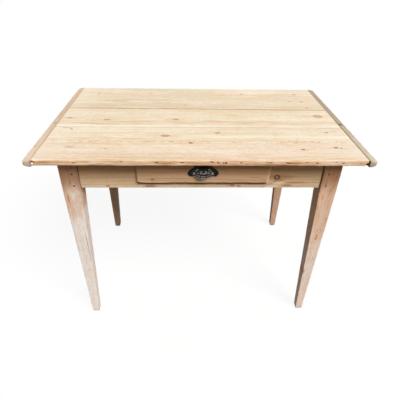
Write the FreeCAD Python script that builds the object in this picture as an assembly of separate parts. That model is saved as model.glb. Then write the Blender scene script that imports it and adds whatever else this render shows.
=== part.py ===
import FreeCAD, Part
import math
import os

# A small pine farmhouse table with one drawer, in millimetres.
# The origin is on the floor under the middle of the top. +X runs along the table to the right as seen
# from the drawer side, +Y runs to the back and +Z runs up.

# Whole table
table_height = 770.0
top_length = 1110.0  # over the two end cleats
top_depth = 718.0  # front edge to back edge of the boards
top_thickness = 21.0
cut_overrun = 5.0  # how far a cutting shape runs past the face that it opens
fillet_wall_share = 0.33  # the largest round-over, as a share of the wall that carries it

# Top boards, edge to edge from the back, as shares of the top's depth; the front board takes what is left
back_board_share = 0.3774
second_board_share = 0.2646
third_board_share = 0.1713
back_seam_skew = 8.0  # how much further forward the seam lies at its right-hand end
second_seam_skew = 3.0
third_seam_skew = 2.0
open_seam_gap = 1.6  # the back joint has shrunk open
tight_seam_gap = 0.4
edge_tongue_thickness = 7.0
edge_tongue_length = 8.0
board_edge_radius = 3.5
corner_chip_width = 7.0  # broken corner of the front board beside each cleat
corner_chip_depth = 9.0
corner_chip_height = 9.0
corner_chip_drop = 4.0  # left-hand chip below the top face; the right-hand one is at the lower face

# End cleats, grooved over tongues on the boards' ends
cleat_width = 26.0
cleat_projection = 7.0  # the boards have shrunk back from the cleats' front ends
cleat_tongue_thickness = 7.0
cleat_tongue_length = 12.0
cleat_tongue_setback = 14.0  # the tongue stops short of the front edge
cleat_groove_relief = 1.0
cleat_corner_radius = 11.0
cleat_edge_radius = 6.0
cleat_peg_diameter = 7.0
cleat_peg_setback = 8.0  # from the cleat's inner face
cleat_peg_share = 0.18  # of the second board's width, from its front edge

# Legs
leg_size = 60.0
leg_outer_taper = 9.0  # how far each outer face leans in at the foot
leg_inner_taper = 24.0
leg_arris_radius = 2.0
leg_taper_drop = 6.0  # the taper starts this far below the aprons
foot_bevel_height = 7.0
foot_bevel_inset = 4.0
end_overhang = 87.0  # top past the legs at each end
long_overhang = 39.0  # boards past the legs at the front and at the back

# Aprons, tenoned into the legs and pegged
apron_height = 108.0
apron_thickness = 22.0
apron_setback = 6.0  # behind the outer faces of the legs
tenon_thickness = 10.0
tenon_gap = 2.0  # between the two tenons that meet inside a leg
tenon_haunch = 24.0  # the tenon starts this far below the aprons' upper edge
peg_diameter = 7.0
peg_length = 34.0
peg_proud = 0.6
peg_inset = 19.0  # from the leg's inner arris
lower_peg_rise = 10.0  # above the tenon's lower edge
upper_peg_drop = 29.0  # below the tenon's upper edge
side_peg_shift = 14.0  # side pegs sit higher, clear of the front and back ones

# Drawer opening, cut down from the front apron's upper edge
drawer_front_width = 440.0
drawer_shift = 4.0  # drawer's centre to the right of the table's centre
drawer_lip_overlap = 9.0
sill_visible_height = 27.0  # apron left showing below the drawer front

# Drawer runners and guides
runner_width = 38.0
runner_thickness = 22.0
runner_tenon_length = 8.0
runner_tenon_shoulder = 4.0
runner_cover = 20.0  # how far the runner reaches in under the drawer, from the drawer's outer face
guide_height = 18.0
guide_clearance = 1.0  # to the drawer's side
guide_nail_length = 32.0
guide_nail_count = 3
nail_radius = 1.2
nail_head_radius = 2.4
nail_head_height = 0.8

# Drawer
drawer_running_gap = 0.3  # to the runners, the sill and the apron's face
drawer_end_clearance = 2.0  # to each end of the opening
drawer_top_clearance = 3.0  # front below the top
drawer_rear_clearance = 110.0  # to the back apron
drawer_lip_thickness = 10.0
drawer_front_thickness = 23.0  # with the lip
drawer_front_edge_radius = 4.0
drawer_side_thickness = 12.0
drawer_side_drop = 9.0  # sides below the front's upper edge
drawer_tail_length = 9.0
drawer_tail_flare = 1.5
drawer_tail_shares = (0.10, 0.33, 0.14, 0.33, 0.10)  # half pin, tail, pin, tail, half pin
drawer_back_thickness = 12.0
drawer_back_drop = 4.0  # back below the sides' upper edge
drawer_back_setback = 10.0  # from the rear ends of the sides
drawer_back_housing = 4.0
drawer_bottom_thickness = 7.0
drawer_bottom_rise = 7.0  # groove above the sides' lower edge
drawer_groove_depth = 5.0
drawer_bottom_tail = 3.0  # the bottom runs on behind the back
bottom_nail_length = 22.0
bottom_nail_count = 3
bottom_nail_margin = 40.0

# Cup pull, a hollow iron shell that is open below
pull_width = 105.0
pull_height = 40.0
pull_plate_thickness = 3.0
pull_ear_radius = 7.0
pull_dome_width = 72.0
pull_dome_height = 33.0
pull_dome_reach = 23.0  # from the drawer front's face
pull_wall = 2.6
pull_band_height = 2.4  # thickened band along the open edge
pull_band_proud = 1.0
pull_lip_drop = 10.0  # open edge below the middle of the drawer front
pull_screw_inset = 8.0  # from the plate's end
pull_screw_rise = 8.0  # above the open edge
pull_screw_radius = 1.6
pull_screw_head_radius = 3.4
pull_screw_head_height = 2.0
pull_screw_length = 15.0
pull_screw_tip = 3.5

# Wooden buttons that hold the top to the aprons
button_width = 28.0
button_length = 40.0
button_thickness = 18.0
button_tongue_length = 10.0
button_lip_drop = 9.0  # the mortise starts this far below the aprons' upper edge
button_slack = 2.0
long_button_share = 0.5  # of the way from a runner to the leg, on the front and back aprons
side_button_share = 0.25  # of a side apron's length, from each end
button_screw_radius = 2.0
button_screw_head_radius = 4.0
button_screw_head_height = 3.0
button_screw_tip = 4.0
button_screw_length = 30.0

# Places of the top and the frame
z_top = table_height
z_under = z_top - top_thickness
z_middle = z_top - top_thickness / 2
z_apron = z_under - apron_height
z_taper = z_apron - leg_taper_drop
z_tenon_top = z_under - tenon_haunch
x_end = top_length / 2
x_board = x_end - cleat_width
y_back = (top_depth + cleat_projection) / 2
y_cleat_front = -y_back
y_front = y_cleat_front + cleat_projection
x_leg = x_end - end_overhang
x_leg_inner = x_leg - leg_size
y_leg = {-1: y_front + long_overhang, 1: y_back - long_overhang}
x_apron = x_leg - apron_setback
x_apron_inner = x_apron - apron_thickness
y_apron = {end: y_leg[end] - end * apron_setback for end in (-1, 1)}
y_apron_inner = {end: y_apron[end] - end * apron_thickness for end in (-1, 1)}
y_first_seam = y_back - top_depth * back_board_share
y_second_seam = y_first_seam - top_depth * second_board_share
y_third_seam = y_second_seam - top_depth * third_board_share
y_cleat_peg = y_second_seam + top_depth * second_board_share * cleat_peg_share
tenon_centre = apron_setback + apron_thickness / 2  # from the leg's outer face
tenon_length = leg_size - tenon_centre - tenon_thickness / 2 - tenon_gap

# Places of the drawer
z_front_low = z_apron + sill_visible_height
z_front_high = z_under - drawer_top_clearance
z_sill = z_front_low + drawer_lip_overlap
z_drawer = z_sill + drawer_running_gap
z_side_high = z_front_high - drawer_side_drop
z_panel = z_drawer + drawer_bottom_rise
z_panel_high = z_panel + drawer_bottom_thickness
z_lip = (z_front_low + z_front_high) / 2 - pull_lip_drop
opening_half = drawer_front_width / 2 - drawer_lip_overlap
drawer_half = opening_half - drawer_end_clearance
drawer_inner_half = drawer_half - drawer_side_thickness
runner_outer_half = drawer_half - runner_cover + runner_width
y_lip_back = y_apron[-1] - drawer_running_gap
y_face = y_lip_back - drawer_lip_thickness
y_front_inner = y_face + drawer_front_thickness
y_drawer_rear = y_apron_inner[1] - drawer_rear_clearance
y_back_far = y_drawer_rear - drawer_back_setback
y_back_near = y_back_far - drawer_back_thickness


def vec(x, y, z):
    return FreeCAD.Vector(x, y, z)


def block(x0, x1, y0, y1, z0, z1):
    """A rectangular block between two corners, given in any order."""
    low = vec(min(x0, x1), min(y0, y1), min(z0, z1))
    return Part.makeBox(abs(x1 - x0), abs(y1 - y0), abs(z1 - z0), low)


def drawer_block(half_width, y0, y1, z0, z1):
    """A block as wide on both sides of the drawer's centre line."""
    return block(drawer_shift - half_width, drawer_shift + half_width, y0, y1, z0, z1)


def prism(points, along):
    """A flat outline of straight sides pushed along a vector."""
    return Part.Face(Part.makePolygon([*points, points[0]])).extrude(along)


def turned(profile):
    """A closed profile of (radius, height) points turned about the Z axis."""
    points = [vec(radius, 0, height) for radius, height in profile]
    face = Part.Face(Part.makePolygon([*points, points[0]]))
    return face.revolve(vec(0, 0, 0), vec(0, 0, 1), 360)


def placed(shape, point, rotation):
    """A copy of a shape, turned about its origin and moved to a point."""
    copy = shape.copy()
    copy.Placement = FreeCAD.Placement(point, rotation).multiply(shape.Placement)
    return copy


def pointing(direction):
    """The turn that takes +Z to a direction."""
    return FreeCAD.Rotation(vec(0, 0, 1), direction)


def near(a, b):
    return abs(a - b) < Part.Precision.confusion()


def edges_where(shape, test):
    """The edges whose ends all pass a test."""
    return [edge for edge in shape.Edges if all(test(vertex.Point) for vertex in edge.Vertexes)]


# Top boards: planks between slightly skewed seams, tongued and grooved edge to edge
def seam(centre, skew):
    """Where a seam meets the left and the right ends of the boards."""
    return centre + skew / 2, centre - skew / 2


def shifted(line, amount):
    return line[0] + amount, line[1] + amount


def plank(back, front, z0, z1):
    """A board-long strip between two lines, each given at its left and right ends."""
    outline = [
        vec(-x_board, back[0], z0),
        vec(x_board, back[1], z0),
        vec(x_board, front[1], z0),
        vec(-x_board, front[0], z0),
    ]
    return prism(outline, vec(0, 0, z1 - z0))


def rounded_edge(board, y):
    """A board with the two long arrises of one outer edge rounded over."""
    arrises = edges_where(board, lambda p: near(p.y, y))
    long_arrises = [edge for edge in arrises if near(edge.Vertexes[0].Z, edge.Vertexes[1].Z)]
    return board.makeFillet(min(board_edge_radius, top_thickness * fillet_wall_share), long_arrises)


def end_tongue(side, y_low, y_high):
    """The tongue on one end of a board, which fills the cleat's groove."""
    half = cleat_tongue_thickness / 2
    x_tip = x_board + cleat_tongue_length
    return block(side * x_board, side * x_tip, y_low, y_high, z_middle - half, z_middle + half)


def top_board(back, front, outer_back=False, outer_front=False):
    """One board with its edge tongue at the back, its edge groove at the front and its end tongues."""
    z0 = z_middle - edge_tongue_thickness / 2
    z1 = z_middle + edge_tongue_thickness / 2
    board = plank(back, front, z_under, z_top)
    if outer_back:
        board = rounded_edge(board, y_back)
    else:
        board = board.fuse(plank(shifted(back, edge_tongue_length), back, z0, z1))
    if outer_front:
        board = rounded_edge(board, y_front)
    else:
        groove = plank(shifted(front, edge_tongue_length), shifted(front, -cut_overrun), z0, z1)
        board = board.cut(groove)
    setback = cleat_tongue_setback if outer_front else edge_tongue_length
    board = board.fuse(end_tongue(-1, front[0] + setback, back[0]))
    board = board.fuse(end_tongue(1, front[1] + setback, back[1]))
    return board.removeSplitter()


def corner_chip(side, drop):
    """The broken corner of the front board beside a cleat, a notch in its front edge."""
    x_far = side * (x_board - corner_chip_width)
    y_deep = y_front + corner_chip_depth
    z_high = z_top - drop
    z_low = z_high - corner_chip_height
    return block(side * x_board, x_far, y_front - cut_overrun, y_deep, z_low, z_high)


def top_boards():
    first = seam(y_first_seam, back_seam_skew)
    second = seam(y_second_seam, second_seam_skew)
    third = seam(y_third_seam, third_seam_skew)
    wide = open_seam_gap / 2
    tight = tight_seam_gap / 2
    front_board = top_board(shifted(third, -tight), (y_front, y_front), outer_front=True)
    low_chip_drop = top_thickness - corner_chip_height
    chips = [corner_chip(-1, corner_chip_drop), corner_chip(1, low_chip_drop)]
    return {
        "back_board": top_board((y_back, y_back), shifted(first, wide), outer_back=True),
        "second_board": top_board(shifted(first, -wide), shifted(second, tight)),
        "third_board": top_board(shifted(second, -tight), shifted(third, tight)),
        "front_board": front_board.cut(chips),
    }


# End cleats: round-nosed strips, grooved over the boards' end tongues and pegged once
def cleat_outline(side, radius):
    """The cleat's plan at the lower face, with its two outer corners rounded."""
    corner = radius * (1 - math.sqrt(0.5))
    x_in = side * x_board
    x_out = side * x_end
    x_turn = x_out - side * radius
    x_bulge = x_out - side * corner

    def point(x, y):
        return vec(x, y, z_under)

    back_arc = Part.Arc(point(x_turn, y_back), point(x_bulge, y_back - corner), point(x_out, y_back - radius))
    front_arc = Part.Arc(
        point(x_out, y_cleat_front + radius),
        point(x_bulge, y_cleat_front + corner),
        point(x_turn, y_cleat_front),
    )
    edges = [
        Part.makeLine(point(x_in, y_back), point(x_turn, y_back)),
        back_arc.toShape(),
        Part.makeLine(point(x_out, y_back - radius), point(x_out, y_cleat_front + radius)),
        front_arc.toShape(),
        Part.makeLine(point(x_turn, y_cleat_front), point(x_in, y_cleat_front)),
        Part.makeLine(point(x_in, y_cleat_front), point(x_in, y_back)),
    ]
    return Part.Wire(edges)


def end_cleat(side):
    x_in = side * x_board
    radius = min(cleat_corner_radius, cleat_width / 2)
    cleat = Part.Face(cleat_outline(side, radius)).extrude(vec(0, 0, top_thickness))
    rims = edges_where(cleat, lambda p: near(p.z, z_top)) + edges_where(cleat, lambda p: near(p.z, z_under))
    outer_rims = [edge for edge in rims if not all(near(vertex.X, x_in) for vertex in edge.Vertexes)]
    nose = min(cleat_edge_radius, radius / 2, top_thickness * fillet_wall_share)
    cleat = cleat.makeFillet(nose, outer_rims)
    half = cleat_tongue_thickness / 2
    x_mouth = side * (x_board - cut_overrun)
    x_deep = side * (x_board + cleat_tongue_length + cleat_groove_relief)
    y_low = y_cleat_front - cut_overrun
    y_high = y_back + cut_overrun
    return cleat.cut(block(x_mouth, x_deep, y_low, y_high, z_middle - half, z_middle + half))


def cleat_peg(side):
    """A vertical peg through a cleat and the boards' tongue."""
    base = vec(side * (x_board + cleat_peg_setback), y_cleat_peg, z_under)
    return Part.makeCylinder(cleat_peg_diameter / 2, top_thickness, base)


# Legs: square at the aprons, then tapered on all four faces, more on the inner two
def rounded_square(x0, x1, y0, y1, z, radius):
    """A level four-sided outline with rounded corners, between two corners given in any order."""
    x_low, x_high = min(x0, x1), max(x0, x1)
    y_low, y_high = min(y0, y1), max(y0, y1)
    corner = radius * (1 - math.sqrt(0.5))

    def arc(x, y, x_sign, y_sign):
        """The start, middle and end of one corner's arc, from its Y side to its X side."""
        on_y_side = vec(x - x_sign * radius, y, z)
        middle = vec(x - x_sign * corner, y - y_sign * corner, z)
        on_x_side = vec(x, y - y_sign * radius, z)
        return on_y_side, middle, on_x_side

    corners = [
        arc(x_high, y_low, 1, -1),
        arc(x_high, y_high, 1, 1)[::-1],
        arc(x_low, y_high, -1, 1),
        arc(x_low, y_low, -1, -1)[::-1],
    ]
    edges = []
    for i, (start, middle, stop) in enumerate(corners):
        following = corners[(i + 1) % len(corners)]
        edges.append(Part.Arc(start, middle, stop).toShape())
        edges.append(Part.makeLine(stop, following[0]))
    return Part.Wire(edges)


def leg_outline(side, end, z, outer, inner):
    """A leg's outline at a height, drawn in from its outer and its inner faces."""
    x0 = side * (x_leg - outer)
    x1 = side * (x_leg_inner + inner)
    y0 = y_leg[end] - end * outer
    y1 = y_leg[end] - end * (leg_size - inner)
    return rounded_square(x0, x1, y0, y1, z, leg_arris_radius)


def leg_blank(side, end):
    taper_share = 1 - foot_bevel_height / z_taper
    outer_ankle = leg_outer_taper * taper_share
    inner_ankle = leg_inner_taper * taper_share
    outer_foot = leg_outer_taper + foot_bevel_inset
    inner_foot = leg_inner_taper + foot_bevel_inset
    outlines = [
        leg_outline(side, end, z_under, 0, 0),
        leg_outline(side, end, z_taper, 0, 0),
        leg_outline(side, end, foot_bevel_height, outer_ankle, inner_ankle),
        leg_outline(side, end, 0, outer_foot, inner_foot),
    ]
    return Part.makeLoft(outlines, True, True)


# Aprons: boards on edge with a haunched tenon at each end, two pegs through each tenon
def long_apron(end):
    """The front (end -1) or the back (end 1) apron."""
    apron = block(-x_leg_inner, x_leg_inner, y_apron[end], y_apron_inner[end], z_apron, z_under)
    y_tenon = y_leg[end] - end * tenon_centre
    half = tenon_thickness / 2
    x_tip = x_leg_inner + tenon_length
    tenons = block(-x_tip, x_tip, y_tenon - half, y_tenon + half, z_apron, z_tenon_top)
    return apron.fuse(tenons).removeSplitter()


def side_apron(side):
    """The left (side -1) or the right (side 1) apron."""
    y_low = y_leg[-1] + leg_size
    y_high = y_leg[1] - leg_size
    apron = block(side * x_apron, side * x_apron_inner, y_low, y_high, z_apron, z_under)
    x_tenon = side * (x_leg - tenon_centre)
    half = tenon_thickness / 2
    y_low_tip = y_low - tenon_length
    y_high_tip = y_high + tenon_length
    tenons = block(x_tenon - half, x_tenon + half, y_low_tip, y_high_tip, z_apron, z_tenon_top)
    return apron.fuse(tenons).removeSplitter()


def joint_pegs(side, end):
    """The pegs of the two joints at one leg, driven in from its two outer faces."""
    x_long = side * (x_leg_inner + peg_inset)
    y_side = y_leg[end] - end * (leg_size - peg_inset)
    length = peg_length + peg_proud
    pegs = []
    for z in (z_apron + lower_peg_rise, z_tenon_top - upper_peg_drop):
        long_start = vec(x_long, y_leg[end] + end * peg_proud, z)
        side_start = vec(side * (x_leg + peg_proud), y_side, z + side_peg_shift)
        pegs.append(Part.makeCylinder(peg_diameter / 2, length, long_start, vec(0, -end, 0)))
        pegs.append(Part.makeCylinder(peg_diameter / 2, length, side_start, vec(-side, 0, 0)))
    return pegs


def drawer_opening():
    """The notch in the front apron that the drawer runs in, open at the upper edge."""
    y_low = y_apron[-1] - cut_overrun
    y_high = y_apron_inner[-1] + cut_overrun
    return drawer_block(opening_half, y_low, y_high, z_sill, z_under + cut_overrun)


# Drawer runners: battens let into the aprons, each with a guide strip nailed on top
def drawer_runner(side):
    x_in = drawer_shift + side * (drawer_half - runner_cover)
    x_out = drawer_shift + side * runner_outer_half
    z_low = z_sill - runner_thickness
    batten = block(x_in, x_out, y_apron_inner[-1], y_apron_inner[1], z_low, z_sill)
    tenons = block(
        x_in + side * runner_tenon_shoulder,
        x_out - side * runner_tenon_shoulder,
        y_apron_inner[-1] - runner_tenon_length,
        y_apron_inner[1] + runner_tenon_length,
        z_low + runner_tenon_shoulder,
        z_sill - runner_tenon_shoulder,
    )
    return batten.fuse(tenons).removeSplitter()


def drawer_guide(side):
    x_in = drawer_shift + side * (drawer_half + guide_clearance)
    x_out = drawer_shift + side * runner_outer_half
    return block(x_in, x_out, y_apron_inner[-1], y_apron_inner[1], z_sill, z_sill + guide_height)


def nail(length):
    """A flat-headed nail with its head's outer face at the origin and its point at +Z."""
    return turned(
        [
            (0, 0),
            (nail_head_radius, 0),
            (nail_head_radius, nail_head_height),
            (nail_radius, nail_head_height),
            (nail_radius, length - nail_head_radius),
            (0, length),
        ]
    )


def guide_nails(side):
    x = drawer_shift + side * (drawer_half + guide_clearance + runner_outer_half) / 2
    run = y_apron_inner[1] - y_apron_inner[-1]
    nails = []
    for i in range(guide_nail_count):
        y = y_apron_inner[-1] + run * (2 * i + 1) / (2 * guide_nail_count)
        head = vec(x, y, z_sill + guide_height)
        nails.append(placed(nail(guide_nail_length), head, pointing(vec(0, 0, -1))))
    return nails


# Buttons: short blocks screwed up under the top, each with a tongue in an apron's mortise
def button():
    """A button with its apron's face in the plane Y = 0 and its upper face in the plane Z = 0."""
    half = button_width / 2
    body = block(-half, half, 0, button_length, -button_thickness, 0)
    tongue = block(-half, half, -button_tongue_length, 0, -button_thickness, -button_lip_drop)
    return body.fuse(tongue).removeSplitter()


def button_mortise():
    half = button_width / 2 + button_slack
    y_deep = -button_tongue_length - button_slack
    return block(-half, half, y_deep, cut_overrun, -button_thickness - button_slack, -button_lip_drop)


def button_screw():
    """A countersunk screw up through a button, its head flush with the lower face."""
    z_head = -button_thickness
    z_tip = z_head + button_screw_length
    screw = turned(
        [
            (0, z_head),
            (button_screw_head_radius, z_head),
            (button_screw_radius, z_head + button_screw_head_height),
            (button_screw_radius, z_tip - button_screw_tip),
            (0, z_tip),
        ]
    )
    screw.translate(vec(0, button_length / 2, 0))
    return screw


def button_places():
    """The apron, the point on its inner face and the turn about Z of each button."""
    y_low = y_leg[-1] + leg_size
    side_run = y_leg[1] - leg_size - y_low
    places = []
    for sign in (-1, 1):
        x_runner = drawer_shift + sign * runner_outer_half
        x = x_runner + (sign * x_leg_inner - x_runner) * long_button_share
        y = y_low + side_run * (side_button_share if sign < 0 else 1 - side_button_share)
        places.append(("front_apron", vec(x, y_apron_inner[-1], z_under), 0))
        places.append(("back_apron", vec(x, y_apron_inner[1], z_under), 180))
        places.append(("left_apron", vec(-x_apron_inner, y, z_under), -90))
        places.append(("right_apron", vec(x_apron_inner, y, z_under), 90))
    return places


# Drawer: lipped front, sides dovetailed into it, back housed in the sides, bottom in grooves
def side_tails(side):
    """The dovetails on the front end of a drawer side, widest at their tips."""
    x_near = drawer_shift + side * drawer_inner_half
    along = vec(side * drawer_side_thickness, 0, 0)
    y_tip = y_front_inner - drawer_tail_length
    tails = []
    z = z_drawer
    for i, height_share in enumerate(drawer_tail_shares):
        z_next = z + (z_side_high - z_drawer) * height_share
        if i % 2 == 1:
            outline = [
                vec(x_near, y_front_inner, z),
                vec(x_near, y_tip, z - drawer_tail_flare),
                vec(x_near, y_tip, z_next + drawer_tail_flare),
                vec(x_near, y_front_inner, z_next),
            ]
            tails.append(prism(outline, along))
        z = z_next
    return tails


def drawer_bottom():
    half = drawer_inner_half + drawer_groove_depth
    y_low = y_front_inner - drawer_groove_depth
    return drawer_block(half, y_low, y_back_far + drawer_bottom_tail, z_panel, z_panel_high)


def drawer_back():
    half = drawer_inner_half + drawer_back_housing
    return drawer_block(half, y_back_near, y_back_far, z_panel_high, z_side_high - drawer_back_drop)


def bottom_groove():
    """The slot that the bottom slides in along both sides, open at the rear."""
    half = drawer_inner_half + drawer_groove_depth
    y_low = y_front_inner - drawer_tail_length - cut_overrun
    return drawer_block(half, y_low, y_drawer_rear + cut_overrun, z_panel, z_panel_high)


def drawer_side(side):
    x_near = drawer_shift + side * drawer_inner_half
    x_far = drawer_shift + side * drawer_half
    plain = block(x_near, x_far, y_front_inner, y_drawer_rear, z_drawer, z_side_high)
    tailed = plain.multiFuse(side_tails(side))
    return tailed.cut([bottom_groove(), drawer_back()]).removeSplitter()


def drawer_front():
    half = drawer_front_width / 2
    lip = drawer_block(half, y_face, y_lip_back, z_front_low, z_front_high)
    arrises = edges_where(lip, lambda p: near(p.y, y_face))
    lip = lip.makeFillet(min(drawer_front_edge_radius, drawer_lip_thickness / 2), arrises)
    front = lip.fuse(drawer_block(drawer_half, y_lip_back, y_front_inner, z_drawer, z_front_high))
    sockets = side_tails(-1) + side_tails(1)
    return front.cut([*sockets, drawer_bottom()]).removeSplitter()


def bottom_nails():
    """Nails up through the bottom into the lower edge of the back."""
    y = (y_back_near + y_back_far) / 2
    reach = drawer_inner_half - bottom_nail_margin
    nails = []
    for i in range(bottom_nail_count):
        x = drawer_shift - reach + 2 * reach * i / (bottom_nail_count - 1)
        nails.append(placed(nail(bottom_nail_length), vec(x, y, z_panel), pointing(vec(0, 0, 1))))
    return nails


# Cup pull: a half-oval plate with rounded ears and a hollow dome that is open below
def pull_ellipsoid(grown):
    """The dome's full ellipsoid about the middle of its open edge, grown or shrunk all round."""
    stretch = FreeCAD.Matrix()
    stretch.scale(pull_dome_width / 2 + grown, pull_dome_reach + grown, pull_dome_height + grown)
    ball = Part.makeSphere(1).transformGeometry(stretch)
    ball.translate(vec(drawer_shift, y_face, z_lip))
    return ball


def pull_plate():
    half = pull_width / 2
    arch = Part.Ellipse(vec(0, 0, 0), half, pull_height).toShape(0, math.pi)
    base = Part.makeLine(vec(-half, 0, 0), vec(half, 0, 0))
    plate = Part.Face(Part.Wire([arch, base])).extrude(vec(0, 0, pull_plate_thickness))
    corners = edges_where(plate, lambda p: near(abs(p.x), half))
    upright = [edge for edge in corners if not near(edge.Vertexes[0].Z, edge.Vertexes[-1].Z)]
    plate = plate.makeFillet(pull_ear_radius, upright)
    return placed(plate, vec(drawer_shift, y_face, z_lip), FreeCAD.Rotation(vec(1, 0, 0), 90))


def cup_pull():
    dome_space = drawer_block(pull_width, y_face, y_face - pull_width, z_lip, z_lip + pull_width)
    band_space = drawer_block(pull_width, y_face, y_face - pull_width, z_lip, z_lip + pull_band_height)
    dome = pull_ellipsoid(0).common(dome_space)
    band = pull_ellipsoid(pull_band_proud).common(band_space)
    shell = pull_plate().multiFuse([dome, band])
    return shell.cut(pull_ellipsoid(-pull_wall))


def pull_screw():
    """A round-headed screw along +Z with its head's seat at the origin."""
    radius = pull_screw_head_radius
    height = pull_screw_head_height
    ball = (radius * radius + height * height) / (2 * height)
    half_turn = math.asin(radius / ball) / 2
    crown = vec(ball * math.sin(half_turn), 0, ball - height - ball * math.cos(half_turn))
    points = [
        vec(0, 0, -height),
        vec(0, 0, pull_screw_length),
        vec(pull_screw_radius, 0, pull_screw_length - pull_screw_tip),
        vec(pull_screw_radius, 0, 0),
        vec(radius, 0, 0),
    ]
    edges = [Part.makeLine(start, stop) for start, stop in zip(points, points[1:])]
    edges.append(Part.Arc(points[-1], crown, points[0]).toShape())
    return Part.Face(Part.Wire(edges)).revolve(vec(0, 0, 0), vec(0, 0, 1), 360)


def pull_screws():
    offset = pull_width / 2 - pull_screw_inset
    y_seat = y_face - pull_plate_thickness
    seats = [vec(drawer_shift + sign * offset, y_seat, z_lip + pull_screw_rise) for sign in (-1, 1)]
    return [placed(pull_screw(), seat, pointing(vec(0, 1, 0))) for seat in seats]


# Putting together: each group cuts its joints and holes with the very pieces that fill them
def make_top(screws):
    pegs = [cleat_peg(-1), cleat_peg(1)]
    pieces = top_boards()
    pieces["left_end_cleat"] = end_cleat(-1)
    pieces["right_end_cleat"] = end_cleat(1)
    for name, piece in pieces.items():
        pieces[name] = piece.cut(pegs + screws)
    pieces["end_cleat_pegs"] = Part.makeCompound(pegs)
    return pieces


def make_frame():
    aprons = {
        "front_apron": long_apron(-1),
        "back_apron": long_apron(1),
        "left_apron": side_apron(-1),
        "right_apron": side_apron(1),
    }
    legs = {}
    pegs = []
    for end, depth_name in ((-1, "front"), (1, "back")):
        for side, side_name in ((-1, "left"), (1, "right")):
            tenons = [aprons[depth_name + "_apron"], aprons[side_name + "_apron"]]
            leg_pegs = joint_pegs(side, end)
            legs[f"{depth_name}_{side_name}_leg"] = leg_blank(side, end).cut(tenons + leg_pegs)
            pegs.extend(leg_pegs)
    for name, apron in aprons.items():
        aprons[name] = apron.cut(pegs)
    aprons["front_apron"] = aprons["front_apron"].cut(drawer_opening())
    return legs, aprons, pegs


def make_runners(aprons):
    pieces = {}
    nails = []
    for side, side_name in ((-1, "left"), (1, "right")):
        runner = drawer_runner(side)
        for name in ("front_apron", "back_apron"):
            aprons[name] = aprons[name].cut(runner)
        side_nails = guide_nails(side)
        pieces[side_name + "_drawer_runner"] = runner.cut(side_nails)
        pieces[side_name + "_drawer_guide"] = drawer_guide(side).cut(side_nails)
        nails.extend(side_nails)
    pieces["guide_nails"] = Part.makeCompound(nails)
    return pieces


def make_buttons(aprons):
    buttons = []
    screws = []
    for name, point, turn in button_places():
        rotation = FreeCAD.Rotation(vec(0, 0, 1), turn)
        screw = placed(button_screw(), point, rotation)
        aprons[name] = aprons[name].cut(placed(button_mortise(), point, rotation))
        buttons.append(placed(button(), point, rotation).cut(screw))
        screws.append(screw)
    return buttons, screws


def make_drawer():
    nails = bottom_nails()
    screws = pull_screws()
    return {
        "drawer_front": drawer_front().cut(screws),
        "drawer_left_side": drawer_side(-1),
        "drawer_right_side": drawer_side(1),
        "drawer_back": drawer_back().cut(nails),
        "drawer_bottom": drawer_bottom().cut(nails),
        "drawer_bottom_nails": Part.makeCompound(nails),
        "cup_pull": cup_pull().cut(screws),
        "cup_pull_screws": Part.makeCompound(screws),
    }


def main():
    legs, aprons, pegs = make_frame()
    runners = make_runners(aprons)
    buttons, button_screws = make_buttons(aprons)
    pieces = {
        **make_top(button_screws),
        **legs,
        **aprons,
        "joint_pegs": Part.makeCompound(pegs),
        **runners,
        "top_buttons": Part.makeCompound(buttons),
        "top_button_screws": Part.makeCompound(button_screws),
        **make_drawer(),
    }
    os.makedirs("parts", exist_ok=True)
    for name, shape in pieces.items():
        print(name, len(shape.Solids), shape.isValid(), round(shape.Volume))
        shape.exportStep(f"parts/{name}.step")


main()
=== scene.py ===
import functools
import math
import bmesh
import bpy
import numpy as np
from mathutils import Matrix, Vector, noise


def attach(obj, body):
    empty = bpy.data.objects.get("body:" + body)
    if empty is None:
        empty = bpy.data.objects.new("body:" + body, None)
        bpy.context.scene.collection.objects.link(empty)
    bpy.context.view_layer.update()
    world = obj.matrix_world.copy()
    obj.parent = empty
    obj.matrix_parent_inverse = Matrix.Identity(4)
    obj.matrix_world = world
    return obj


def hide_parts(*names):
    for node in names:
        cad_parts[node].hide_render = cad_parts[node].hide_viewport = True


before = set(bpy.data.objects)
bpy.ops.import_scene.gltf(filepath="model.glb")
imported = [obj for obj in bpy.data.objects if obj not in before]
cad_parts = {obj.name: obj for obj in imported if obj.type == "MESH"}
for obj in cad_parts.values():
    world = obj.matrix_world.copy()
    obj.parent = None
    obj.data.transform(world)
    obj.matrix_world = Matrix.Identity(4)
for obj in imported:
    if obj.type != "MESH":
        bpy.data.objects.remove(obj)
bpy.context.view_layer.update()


# Legs. Four square pine legs, tapered on all faces from just below the aprons and bevelled at the foot.
# Stripped pine with the arrises worn round; the lower parts still hold a thin pale wash in the grain.
# Each is cut from one length with its growth rings running up it, and mortised for the apron tenons.
def tone(red, green, blue):
    """A colour as a screen shows it, 0 to 255, in the linear form that shaders take."""
    shares = [value / 255 for value in (red, green, blue)]
    linear = [s / 12.92 if s <= 0.04045 else ((s + 0.055) / 1.055) ** 2.4 for s in shares]
    return (*linear, 1.0)


def join(socket, value):
    """Feeds a socket from another socket, or sets it to a plain value."""
    if isinstance(value, bpy.types.NodeSocket):
        socket.id_data.links.new(value, socket)
    elif value is not None:
        socket.default_value = value


def tree_of(values):
    """The node tree that the first socket among some values lies in."""
    return next(value for value in values if isinstance(value, bpy.types.NodeSocket)).id_data


def sums(operation, *values):
    """A number worked out by a Math node."""
    node = tree_of(values).nodes.new("ShaderNodeMath")
    node.operation = operation
    for socket, value in zip(node.inputs, values):
        join(socket, value)
    return node.outputs[0]


def plus(*values):
    return functools.reduce(functools.partial(sums, "ADD"), values)


def times(*values):
    return functools.reduce(functools.partial(sums, "MULTIPLY"), values)


def minus(first, second):
    return sums("SUBTRACT", first, second)


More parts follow.
